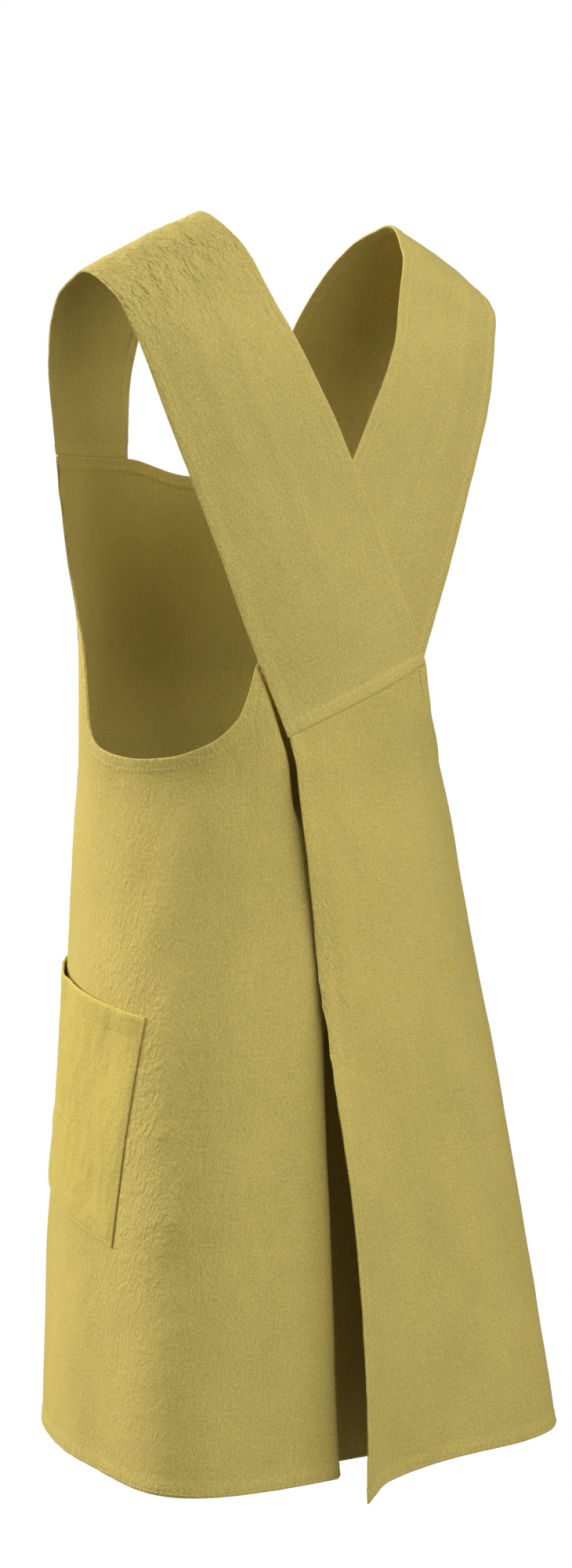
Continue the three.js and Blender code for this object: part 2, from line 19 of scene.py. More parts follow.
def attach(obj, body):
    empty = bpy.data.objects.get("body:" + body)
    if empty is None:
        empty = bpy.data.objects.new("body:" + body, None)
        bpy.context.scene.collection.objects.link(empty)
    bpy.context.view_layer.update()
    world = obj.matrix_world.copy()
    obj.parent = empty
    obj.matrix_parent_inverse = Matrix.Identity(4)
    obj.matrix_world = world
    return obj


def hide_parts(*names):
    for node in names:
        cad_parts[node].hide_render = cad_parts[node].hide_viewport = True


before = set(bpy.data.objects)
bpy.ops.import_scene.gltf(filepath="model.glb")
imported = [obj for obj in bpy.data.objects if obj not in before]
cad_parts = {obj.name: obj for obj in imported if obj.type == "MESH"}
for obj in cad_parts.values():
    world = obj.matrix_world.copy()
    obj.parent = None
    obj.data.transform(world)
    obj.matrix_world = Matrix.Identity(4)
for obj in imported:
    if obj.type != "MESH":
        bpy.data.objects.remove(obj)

logging.basicConfig(level=logging.INFO, format="%(message)s")
log = logging.getLogger("apron")

Array = np.ndarray
Number = Union[float, "Shade"]
Place = Callable[[Array, Array], Array]
Surface = Callable[[Array, Array], tuple[Array, Array]]
Colour = tuple[float, float, float]
Rows = Sequence[Sequence[Any]]
UV_NAME = "cloth"
WHITE = (1.0, 1.0, 1.0, 1.0)


class Side(Enum):
    """The wearer's left and right; the value is the sign of X."""

    LEFT = 1
    RIGHT = -1

    @property
    def label(self) -> str:
        """The side's name in lower case."""
        return self.name.lower()

    def holds(self, g: Array) -> Array:
        """1 where a place round the body is on this side, else 0."""
        return np.where(np.sign(g) == self.value, 1.0, 0.0)


# ----------------------------------------------------------------------------- small maths


def smooth(low: float, high: float, value: Array) -> Array:
    """A soft step from 0 at low to 1 at high."""
    t = np.clip((value - low) / (high - low), 0, 1)
    return t * t * (3 - 2 * t)


def mix(a: Array, b: Array, share: Array) -> Array:
    """The value at a share of the way from a to b."""
    return a + (b - a) * share


def taper(least: float, width: float, distance: Array) -> Array:
    """A factor that rises from least at an edge to 1 at a distance of width."""
    return mix(least, 1.0, smooth(0, width, distance))


def bump(value: Array, middle: float, width: float) -> Array:
    """A rounded bump of height 1 at the middle."""
    return np.exp(-(((value - middle) / width) ** 2))


def unit(vectors: Array) -> Array:
    """The vectors, each brought to length 1."""
    return vectors / np.maximum(np.linalg.norm(vectors, axis=-1, keepdims=True), 1e-12)


def normals_of(place: Place, u: Array, v: Array, du: float, dv: float) -> Array:
    """Unit normals of a surface.

    Args:
        place: gives the point at u and v.
        u: first place along the surface.
        v: second place along the surface.
        du: step to either side in u.
        dv: step to either side in v.
    Returns:
        The direction across both steps, one for each point.
    """
    across = place(u + du, v) - place(u - du, v)
    along = place(u, v + dv) - place(u, v - dv)
    return unit(np.cross(across, along))


def run_lengths(points: Array) -> Array:
    """Length of a line up to each of its points."""
    return np.concatenate([[0], np.cumsum(np.linalg.norm(np.diff(points, axis=0), axis=1))])


def sampled(run: Array, data: Array, lengths: Array) -> Array:
    """Rows of data at given lengths along a line, whose run_lengths are given too."""
    return np.stack([np.interp(lengths, run, column) for column in data.T], axis=-1)


def even_places(points: Array, step: float) -> Array:
    """Shares along a line that cut it into even steps.

    Args:
        points: the line, one point a row.
        step: the wanted length of a step.
    Returns:
        Places along the rows, as shares from 0 to 1.
    """
    run = run_lengths(points)
    count = max(2, round(run[-1] / step))
    return np.interp(np.linspace(0, run[-1], count + 1), run, np.linspace(0, 1, len(points)))


def spread(start: float, end: float, scale: float, step: float) -> Array:
    """Shares from start up to end, a step apart where a share of 1 is scale long."""
    return np.linspace(start, end, round((end - start) * scale / step), endpoint=False)


class Curve:
    """A smooth curve through given points that never runs past them."""

    def __init__(self, keys: Sequence[float], values: Sequence[float]) -> None:
        """Args: keys: places, rising. values: the curve's height there."""
        self.keys = np.array(keys, float)
        self.values = np.array(values, float)
        slope = np.diff(self.values) / np.diff(self.keys)
        before, after = slope[:-1], slope[1:]
        total = np.where(before * after > 0, before + after, 1)
        inner = np.where(before * after > 0, 2 * before * after / total, 0)
        self.slopes = np.concatenate([slope[:1], inner, slope[-1:]])

    def __call__(self, key: Array) -> Array:
        """The curve's height at each key; flat beyond both ends."""
        key = np.clip(np.asarray(key, float), self.keys[0], self.keys[-1])
        i = np.clip(np.searchsorted(self.keys, key, side="right") - 1, 0, len(self.keys) - 2)
        span = self.keys[i + 1] - self.keys[i]
        t = (key - self.keys[i]) / span
        t2, t3 = t * t, t**3
        return (
            self.values[i] * (2 * t3 - 3 * t2 + 1)
            + self.values[i + 1] * (3 * t2 - 2 * t3)
            + self.slopes[i] * span * (t3 - 2 * t2 + t)
            + self.slopes[i + 1] * span * (t3 - t2)
        )


# ---------------------------------------------------------------------------------- relief


class Crumple:
    """Soft random noise in space, the same in every run.

    Two cloths that lie on each other get the same relief, so neither comes through.
    """

    TURN = np.array([[0.80, 0.36, -0.48], [-0.60, 0.48, -0.64], [0.0, 0.80, 0.60]])

    def __init__(self, seed: int, nodes: int = 40) -> None:
        """Args: seed: picks the pattern. nodes: its period, in cells."""
        self.nodes = nodes
        self.lattice = np.random.default_rng(seed).uniform(-1, 1, (nodes,) * 3)

    def waves(self, points: Array, size: Sequence[float]) -> Array:
        """Rounded waves.

        Args:
            points: where, in space.
            size: half a wave's length along X, Y and Z.
        Returns:
            Heights between -1 and 1.
        """
        q = (points / np.array(size)) @ self.TURN
        low = np.floor(q).astype(int)
        part = smooth(0, 1, q - low)
        total = np.zeros(points.shape[:-1])
        for corner in np.ndindex(2, 2, 2):
            weight = np.prod(np.where(corner, part, 1 - part), axis=-1)
            at = (low + np.array(corner)) % self.nodes
            total += weight * self.lattice[at[..., 0], at[..., 1], at[..., 2]]
        return total

    def creases(self, points: Array, size: Sequence[float]) -> Array:
        """Narrow ridges between flat fields, as in cloth that was pressed in a bundle."""
        return 1 - 2 * np.sqrt(np.abs(self.waves(points, size)) + 0.01)


@dataclass(frozen=True)
class Relief:
    """One layer of relief: its height, and half a wave's length along X, Y and Z."""

    noise: Crumple
    height: float
    size: tuple[float, float, float]

    def waves(self, points: Array) -> Array:
        """Height of the layer's rounded waves."""
        return self.height * self.noise.waves(points, self.size)

    def creases(self, points: Array) -> Array:
        """Height of the layer's narrow ridges."""
        return self.height * self.noise.creases(points, self.size)


COARSE, FINE = Crumple(7), Crumple(19)
# the slow unevenness that all the cloth has
DRAPE = (
    Relief(COARSE, 0.0009, (0.05, 0.05, 0.17)),
    Relief(FINE, 0.00045, (0.022, 0.022, 0.05)),
    Relief(COARSE, 0.00016, (0.009, 0.009, 0.016)),
)
BODY_PUCKER = Relief(FINE, 0.00035, (0.007, 0.007, 0.012))
STRAP_PUCKER = Relief(FINE, 0.0003, (0.007, 0.007, 0.010))
PUCKER_FADE = 0.010
BESIDE_POCKET = (
    Relief(COARSE, 0.0005, (0.014, 0.014, 0.022)),
    Relief(FINE, 0.0003, (0.008, 0.008, 0.013)),
)
TUCK_CREASES = Relief(FINE, 0.0012, (0.008, 0.008, 0.020))
PANEL_CREASES = Relief(FINE, 0.0010, (0.012, 0.012, 0.032))
SEAM_CREASES = Relief(COARSE, 0.0004, (0.02, 0.02, 0.04))
# heights here are shares of the strap's shoulder_crease
SHOULDER_CREASES = (
    Relief(COARSE, 1.0, (0.0085, 0.022, 0.026)),
    Relief(FINE, 0.7, (0.0055, 0.013, 0.016)),
)
POCKET_CREASES = Relief(COARSE, 0.0005, (0.011, 0.011, 0.022))
POCKET_WAVES = Relief(FINE, 0.0005, (0.018, 0.018, 0.05))


def drape(points: Array) -> Array:
    """Height of the slow unevenness that all the cloth has."""
    return sum(layer.waves(points) for layer in DRAPE)


def creases(layers: Sequence[Relief], points: Array) -> Array:
    """Height of several layers of narrow ridges."""
    return sum(layer.creases(points) for layer in layers)


# ------------------------------------------------------------------------- the worn shape


@dataclass
class WornShape:
    """The surface that the apron's cloth follows on the body, with its edges.

    A place on it is g, the share of the half girth from the front (0) over the side (0.5) to
    the middle of the back (1) and past it, negative on the wearer's right, and the height z.
    """

    hem_drop: float = 0.888
    half_width: float = 0.181
    front_depth: float = 0.201
    back_depth: float = 0.135
    middle_shift: float = 0.046
    bib_drop: float = 0.165
    neck_half: float = 0.062
    neck_dip: float = 0.012
    overlap: float = 0.050
    overlap_middle: float = 0.041
    free_lift: float = 0.037
    under_sink: float = 0.034
    armhole_drop: float = 0.384
    seam_drop: float = 0.368
    seam_rise: float = 0.050
    seam_inner: float = 0.050
    seam_outer: float = 0.072
    hem: float = 0.009
    layer_step: float = 0.0013
    layer_start: float = 0.74
    layer_end: float = 0.83
    fold_width: float = 0.040
    fold_rise: float = 0.005
    fold_mirror: float = 0.3
    lift_start: float = 0.86
    lift_power: float = 2.1
    panel_start: float = 0.8
    # drop, side, upper side, shift, front, back, squareness
    sections: Rows = (
        (0.030, 0.960, 1.227, 0.000, 0.390, 0.689, 2.00),
        (0.067, 0.950, 1.227, -0.05, 0.430, 0.789, 2.00),
        (0.100, 0.940, 1.227, -0.10, 0.455, 0.886, 2.00),
        (0.134, 0.935, 1.227, -0.10, 0.470, 0.918, 2.00),
        (0.190, 0.920, 1.190, -0.10, 0.480, 0.932, 2.00),
        (0.270, 0.850, 1.130, -0.07, 0.530, 0.906, 2.05),
        (0.335, 0.790, 0.880, -0.03, 0.570, 0.883, 2.30),
        (0.384, 0.785, 0.785, 0.000, 0.600, 0.867, 2.45),
        (0.448, 0.785, 0.785, 0.000, 0.612, 0.885, 2.10),
        (0.516, 0.807, 0.807, 0.087, 0.637, 0.941, 2.15),
        (0.582, 0.829, 0.829, 0.196, 0.682, 0.970, 2.33),
        (0.714, 0.884, 0.884, 0.435, 0.771, 1.000, 2.80),
        (0.848, 0.939, 0.939, 0.717, 0.930, 1.000, 3.35),
        (1.000, 1.000, 1.000, 1.000, 1.000, 0.985, 4.30),
    )
    # place round the body, fall from the bib's top to the armhole's lowest point
    armhole: Rows = (
        (0.372, 0.0), (0.375, 0.25), (0.382, 0.42), (0.395, 0.495), (0.413, 0.545),
        (0.437, 0.62), (0.451, 0.72), (0.459, 0.82), (0.468, 0.89), (0.486, 0.945),
        (0.515, 0.973), (0.559, 0.991), (0.61, 1.0), (0.667, 0.993), (0.736, 0.955),
        (0.796, 0.87),
    )
    # drop, lift of the outer panel, sink of the inner panel, overlap
    free_edge: Rows = (
        (0.35, 0.0, 0.5, 1.0), (0.41, 0.01, 0.65, 0.95), (0.44, 0.13, 0.55, 0.60),
        (0.47, 0.17, 0.52, 0.53), (0.505, 0.18, 0.14, 0.50), (0.56, 0.20, 0.06, 0.28),
        (0.60, 0.275, 0.06, 0.14), (0.635, 0.39, 0.22, 0.12), (0.7, 0.55, 0.60, 0.40),
        (0.78, 0.76, 0.85, 0.35), (0.93, 1.0, 1.0, 0.7), (1.0, 0.95, 1.0, 0.75),
    )
    # drop, place where the inner panel starts to fall inwards
    fall_line: Rows = (
        (0.36, 0.835), (0.411, 0.868), (0.433, 0.880), (0.47, 0.890), (0.505, 0.910),
        (0.6, 0.915), (0.66, 0.912), (0.7, 0.911), (0.85, 0.914), (1.0, 0.917),
    )
    fall_width: float = 0.030
    fall_slack: float = 0.007
    fall_back: float = 0.7
    # side or None for both, start and end (place round, drop), width, rise
    folds: Rows = (
        (Side.LEFT, (0.79, 0.425), (0.62, 0.6), 0.55, 0.7),
        (Side.LEFT, (0.72, 0.5), (0.55, 0.68), 0.6, -0.5),
        (Side.LEFT, (0.86, 0.47), (0.8, 0.85), 0.9, -0.7),
        (Side.LEFT, (0.66, 0.66), (0.68, 1.05), 0.9, 1.0),
        (Side.RIGHT, (0.7, 0.72), (0.74, 1.05), 0.9, 0.4),
        (Side.RIGHT, (1.03, 0.52), (1.045, 0.71), 0.3, -0.5),
        (None, (0.25, 0.5), (0.3, 1.05), 1.0, 1.0),
        (None, (0.1, 0.55), (0.13, 1.05), 1.0, -0.9),
        (None, (0.0, 0.6), (0.0, 1.05), 1.0, 0.35),
    )
    levels: int = 460
    cells: int = 240

    def __post_init__(self) -> None:
        """Work out the curves through the tables and the outline at each level."""
        rows = np.array(self.sections)
        columns = {
            "side": self.half_width, "upper": self.half_width, "shift": self.middle_shift,
            "front": self.front_depth, "back": self.back_depth, "square": 1,
        }
        self.at = {
            name: Curve(rows[:, 0], rows[:, i] * size)
            for i, (name, size) in enumerate(columns.items(), 1)
        }
        drop, lift, sink, over = np.array(self.free_edge).T
        self.lift, self.sink = Curve(drop, lift * self.free_lift), Curve(drop, sink * self.under_sink)
        self.reach = Curve(drop, mix(self.overlap_middle, self.overlap, over))
        self.fall = Curve(*np.array(self.fall_line).T)
        self.heights = np.linspace(-self.hem_drop - 0.01, -0.02, self.levels)
        self._trace_outlines()
        self.free_top = float(self.free_around(np.array(-self.seam_drop)))
        shares = np.linspace(0, 1.1, 4401)
        seam_top = -self.seam_drop + self.seam_rise
        front = self.on_section(shares, np.full_like(shares, -self.bib_drop))[..., 0]
        back = self.on_section(shares, np.full_like(shares, seam_top))[..., 0]
        self.neck_around = float(shares[np.argmax(front >= self.neck_half)])
        self.seam_around = float(shares[np.argmax((shares > 0.7) & (back < self.seam_outer))])
        self.bib_corner = self.armhole[0][0]
        place, fall = np.array(self.armhole).T
        hole = mix(-self.bib_drop, -self.armhole_drop, fall)
        self.armhole_curve = Curve([*place, self.seam_around], [*hole, seam_top])
        self.chest = float(self.half_girth(np.array(-self.armhole_drop)))

    def _trace_outlines(self) -> None:
        """Fill the table of outline points, evenly spaced along the outline at each level."""
        at = {name: curve(-self.heights / self.hem_drop) for name, curve in self.at.items()}
        angle = np.linspace(0, math.pi / 2, 181)
        quarter = np.stack([np.maximum(np.cos(angle), 0), np.sin(angle)], axis=-1)
        self.table = np.zeros((self.levels, 2 * self.cells + 1, 2))
        self.front_length, self.back_length = np.zeros(self.levels), np.zeros(self.levels)
        for i in range(self.levels):
            front = quarter * (at["side"][i], at["front"][i])
            back = quarter ** (2 / at["square"][i]) * (at["upper"][i], at["back"][i])
            halves = []
            for line, lengths in ((front, self.front_length), (back, self.back_length)):
                run = run_lengths(line)
                lengths[i] = run[-1]
                halves.append(sampled(run, line, np.linspace(0, run[-1], self.cells + 1)))
            self.table[i] = np.concatenate([halves[0][:0:-1] * (1, -1), halves[1]])
        self.table[..., 1] += at["shift"][:, None]

    def half_girth(self, z: Array) -> Array:
        """Length of half the outline at a height."""
        return np.interp(z, self.heights, self.front_length + self.back_length)

    def on_section(self, around: Array, z: Array) -> Array:
        """Points of the plain outline on the left half.

        Args:
            around: place round the body, 0 to 1 and a little past either end.
            z: height.
        Returns:
            x and y of each point.
        """
        folded = np.abs(around)
        past = folded > 1
        folded = np.where(past, 2 - folded, folded)
        column = np.clip(folded * 2 * self.cells, 0, 2 * self.cells - 1e-9)
        row = np.interp(z, self.heights, np.arange(self.levels))
        row = np.clip(row, 0, self.levels - 1 - 1e-9)
        c, r = column.astype(int), row.astype(int)
        fc, fr = (column - c)[..., None], (row - r)[..., None]
        table = self.table
        low = mix(table[r, c], table[r, c + 1], fc)
        high = mix(table[r + 1, c], table[r + 1, c + 1], fc)
        found = mix(low, high, fr)
        flip = np.where(past, -1.0, 1.0) * np.where(around < 0, -1.0, 1.0)
        return np.stack([found[..., 0] * flip, found[..., 1]], axis=-1)

    def body_y(self, x: Array, z: Array, back: Array) -> Array:
        """y of the plain surface.

        Args:
            x: place across.
            z: height.
            back: True for the back, False for the front.
        Returns:
            y of each point.
        """
        drop = -z / self.hem_drop
        side = np.where(back, self.at["upper"](drop), self.at["side"](drop))
        power = np.where(back, self.at["square"](drop), 2.0)
        depth = np.where(back, self.at["back"](drop), -self.at["front"](drop))
        share = np.clip(np.abs(x) / side, 0, 1)
        return self.at["shift"](drop) + depth * (1 - share**power) ** (1 / power)

    def free_around(self, z: Array) -> Array:
        """Place round the body of a back panel's free edge."""
        back_quarter = np.interp(z, self.heights, self.back_length)
        return 1 + self.reach(-z / self.hem_drop) / (2 * back_quarter)

    def stretch(self, z: Array) -> Array:
        """How much a panel is spread round the body at a height, against its top."""
        return (self.free_around(z) - self.panel_start) / (self.free_top - self.panel_start)

    def around(self, g: Array, z: Array) -> Array:
        """Place round the body of a panel's own line, which leans as its free edge does."""
        share, start = np.abs(g), self.panel_start
        return np.where(share <= start, share, start + (share - start) * self.stretch(z))

    def plain(self, g: Array, z: Array) -> Array:
        """Points on the middle of the cloth, before folds."""
        g, z = np.broadcast_arrays(np.asarray(g, float), np.asarray(z, float))
        around, free, drop = self.around(g, z), self.free_around(z), -z / self.hem_drop
        flat = self.on_section(around, z)
        reach = np.clip((around - self.lift_start) / (free - self.lift_start), 0, 1)
        layered = smooth(self.layer_start, self.layer_end, around) * self.layer_step
        outer = layered + self.lift(drop) * reach**self.lift_power
        start, slack = self.fall(drop), self.fall_slack * smooth(0.60, 0.95, drop)
        inner = -layered - self.sink(drop) * (
            smooth(start - slack, start + self.fall_width + slack, around)
            - self.fall_back * smooth(1.0, free - 0.01, around)
        )
        x = np.where(g > 0, 1.0, -1.0) * flat[..., 0]
        return np.stack([x, flat[..., 1] + np.where(g > 0, inner, outer), z], axis=-1)

    def normal(self, g: Array, z: Array) -> Array:
        """Directions out of the body."""
        return normals_of(self.plain, g, z, 0.002, 0.001)

    def fold_height(self, g: Array, z: Array) -> Array:
        """Height of the soft folds that the table gives."""
        around, girth = np.abs(g), self.half_girth(z)
        fade = 1 - smooth(-self.armhole_drop - 6 * self.hem, -self.armhole_drop + self.hem, z)
        rise = np.zeros(np.broadcast(g, z).shape)
        for side, start, end, wide, high in self.folds:
            here = self.fold_rise * high * (1.0 if side is None else side.holds(g))
            width = self.fold_width * wide
            for mirror in (1, -1):
                near = 1.0 if mirror > 0 else np.where(around < self.fold_mirror, 1.0, 0.0)
                ax, az = start[0] * girth, -start[1] * self.hem_drop
                dx, dz = end[0] * girth - ax, -end[1] * self.hem_drop - az
                px, pz = mirror * around * girth - ax, z - az
                size = np.hypot(dx, dz)
                along = (px * dx + pz * dz) / size
                off = (px * dz - pz * dx) / size
                beyond = np.maximum(0, np.maximum(-along, along - size))
                shape = np.exp(-((off / width) ** 2) - (beyond / (2 * width)) ** 2)
                rise = rise + here * near * shape
        return rise * fade

    def top(self, share: Array) -> Array:
        """Height of the upper edge: neckline, strap seat, armhole and the seam in the back."""
        share = np.asarray(share, float)
        dip = (1 - np.clip(share / self.neck_around, 0, 1) ** 2) ** 2
        seam = np.full_like(share, -self.seam_drop)
        for _ in range(4):
            seam = self.seam_z(self.on_section(share, seam)[..., 0])
        back = np.where(share <= self.seam_around, self.armhole_curve(share), seam)
        return np.where(share < self.bib_corner, -self.bib_drop - self.neck_dip * dip, back)

    def seam_z(self, x: Array) -> Array:
        """Height of the seam between a strap and its back panel."""
        share = (self.seam_outer - x) / (self.seam_outer + self.seam_inner)
        return -self.seam_drop + self.seam_rise * (1 - share)

    def hole_line(self, inside: float = 0.0, count: int = 400) -> Array:
        """The upper edge from the neck to the back seam, or a line beside it in the cloth.

        Args:
            inside: distance from the edge.
            count: number of points.
        Returns:
            Points on the flat cloth: length round the body, and height.
        """
        shares = np.concatenate([
            np.linspace(0, self.bib_corner, count // 3, endpoint=False),
            np.linspace(self.bib_corner, self.seam_around, count),
        ])
        line = np.stack([shares * self.chest, self.top(shares)], axis=-1)
        ahead = unit(np.gradient(line, axis=0))
        return line + inside * np.stack([ahead[:, 1], -ahead[:, 0]], axis=-1)


# --------------------------------------------------------------------------- cloth meshes


def new_piece(name: str, shape: bmesh.types.BMesh) -> bpy.types.Object:
    """Make an object of a shape, in the scene, and free the shape.

    Args:
        name: the name of the object and its mesh.
        shape: the faces.
    Returns:
        The object.
    """
    mesh = bpy.data.meshes.new(name)
    shape.to_mesh(mesh)
    shape.free()
    piece = bpy.data.objects.new(name, mesh)
    bpy.context.scene.collection.objects.link(piece)
    return piece


@dataclass
class ClothGrid:
    """A cloth in rows and columns, its first row lowest: places, flat places, thickness."""

    points: Array
    flat: Array
    thickness: Array
    marks: dict[str, Array]
    steps: int = 60
    sharp: float = math.radians(58)

    def facing_out(self, side: Side) -> "ClothGrid":
        """The grid with its faces outwards.

        Args:
            side: the side that the piece is on.
        Returns:
            The grid, on the right with its columns in reverse.
        """
        if side is Side.LEFT:
            return self
        marks = {name: values[:, ::-1] for name, values in self.marks.items()}
        return ClothGrid(self.points[:, ::-1], self.flat[:, ::-1], self.thickness[:, ::-1], marks)

    def sew(self, name: str) -> bpy.types.Object:
        """Make the closed cloth.

        Args:
            name: the new object's name.
        Returns:
            The object, with its UV map, its marks and smooth faces.
        """
        rows, columns = self.thickness.shape
        shape = bmesh.new()
        bmesh.ops.create_grid(shape, x_segments=columns - 1, y_segments=rows - 1, size=0.5)
        piece = new_piece(name, shape)
        mesh = piece.data
        place = np.empty(len(mesh.vertices) * 3)
        mesh.vertices.foreach_get("co", place)
        place = place.reshape(-1, 3) + 0.5
        column = np.rint(place[:, 0] * (columns - 1)).astype(int)
        row = np.rint(place[:, 1] * (rows - 1)).astype(int)
        mesh.vertices.foreach_set("co", self.points[row, column].astype(np.float32).ravel())
        corners = np.empty(len(mesh.loops), dtype=np.int32)
        mesh.loops.foreach_get("vertex_index", corners)
        flat = self.flat[row, column][corners].astype(np.float32)
        mesh.uv_layers.new(name=UV_NAME).data.foreach_set("uv", flat.ravel())
        for mark, values in self.marks.items():
            data = mesh.attributes.new(mark, "FLOAT", "POINT").data
            data.foreach_set("value", values[row, column].astype(np.float32))
        self._close(piece, self.thickness[row, column])
        return piece

    def _close(self, piece: bpy.types.Object, thickness: Array) -> None:
        """Give the cloth its thickness at each point, to both sides, and smooth faces."""
        most = float(thickness.max())
        group = piece.vertex_groups.new(name="thickness")
        steps = np.rint(thickness / most * self.steps).astype(int)
        for step in np.unique(steps):
            group.add(np.flatnonzero(steps == step).tolist(), step / self.steps, "REPLACE")
        wall = piece.modifiers.new("wall", "SOLIDIFY")
        wall.thickness, wall.offset, wall.vertex_group = most, 0, group.name
        seen = piece.evaluated_get(bpy.context.evaluated_depsgraph_get())
        solid = bpy.data.meshes.new_from_object(seen)
        flat = piece.data
        piece.modifiers.clear()
        piece.vertex_groups.clear()
        solid.name = flat.name + "_closed"
        piece.data = solid
        bpy.data.meshes.remove(flat)
        solid.shade_smooth()
        solid.set_sharp_from_angle(angle=self.sharp)


@dataclass
class Stitching:
    """Runs of sewn stitches, joined in one mesh."""

    name: str
    length: float = 0.0029
    gap: float = 0.0008
    radius: float = 0.00038
    runs: list[tuple[Array, Array]] = field(default_factory=list)

    def run(self, surface: Surface, a: Array, b: Array, lift: float) -> None:
        """Add a line of stitches.

        Args:
            surface: gives a cloth's points and the directions out of it.
            a: the line's first place on that surface, point by point.
            b: its second place.
            lift: height of the stitches over the middle of the cloth.
        """
        points, out = surface(a, b)
        self.runs.append((points + out * lift, out))

    def _seed(self) -> bpy.types.Mesh:
        """One stitch along X, with a few dozen faces."""
        shape = bmesh.new()
        bmesh.ops.create_uvsphere(shape, u_segments=6, v_segments=4, radius=1.0)
        upright = Matrix.Rotation(math.pi / 2, 3, "Y")
        bmesh.ops.rotate(shape, verts=shape.verts, matrix=upright)
        size = (self.length / 2, self.radius, self.radius)
        bmesh.ops.scale(shape, verts=shape.verts, vec=size)
        mesh = bpy.data.meshes.new("stitch")
        shape.to_mesh(mesh)
        shape.free()
        return mesh

    def sew(self) -> bpy.types.Object:
        """Make the mesh.

        Returns:
            The object that holds all runs.
        """
        seed, half = self._seed(), self.length / 2
        shape = bmesh.new()
        for path, normals in self.runs:
            run = run_lengths(path)
            count = int(run[-1] / (self.length + self.gap))
            middles = (np.arange(count) + 0.5) * run[-1] / count
            places, up = sampled(run, path, middles), unit(sampled(run, normals, middles))
            ahead = unit(sampled(run, path, middles + half) - sampled(run, path, middles - half))
            beside = unit(np.cross(up, ahead))
            for place, *axes in zip(places, ahead, beside, np.cross(ahead, beside)):
                stitch = seed.copy()
                turn = Matrix(axes).transposed().to_4x4()
                stitch.transform(Matrix.Translation(Vector(place)) @ turn)
                shape.from_mesh(stitch)
                bpy.data.meshes.remove(stitch)
        bpy.data.meshes.remove(seed)
        piece = new_piece(self.name, shape)
        piece.data.shade_smooth()
        return piece


# ------------------------------------------------------------------------------- finishes


class Shade:
    """A number in a material that varies over the surface; operators add Math nodes."""

    def __init__(self, bench: "Bench", socket: bpy.types.NodeSocket) -> None:
        """Args: bench: the material's node bench. socket: the output that holds the number."""
        self.bench = bench
        self.socket = socket

    def _math(self, operation: str, *inputs: Number) -> "Shade":
        """Add one Math node."""
        node = self.bench.node("ShaderNodeMath", {"operation": operation}, dict(enumerate(inputs)))
        return Shade(self.bench, node.outputs[0])

    def __add__(self, other: Number) -> "Shade":
        """self + other."""
        return self._math("ADD", self, other)

    __radd__ = __add__

    def __sub__(self, other: Number) -> "Shade":
        """self - other."""
        return self._math("SUBTRACT", self, other)

    def __rsub__(self, other: Number) -> "Shade":
        """other - self."""
        return self._math("SUBTRACT", other, self)

    def __mul__(self, other: Number) -> "Shade":
        """self * other."""
        return self._math("MULTIPLY", self, other)

    __rmul__ = __mul__

    def sine(self) -> "Shade":
        """The sine of self."""
        return self._math("SINE", self)

    def size(self) -> "Shade":
        """self without its sign."""
        return self._math("ABSOLUTE", self)


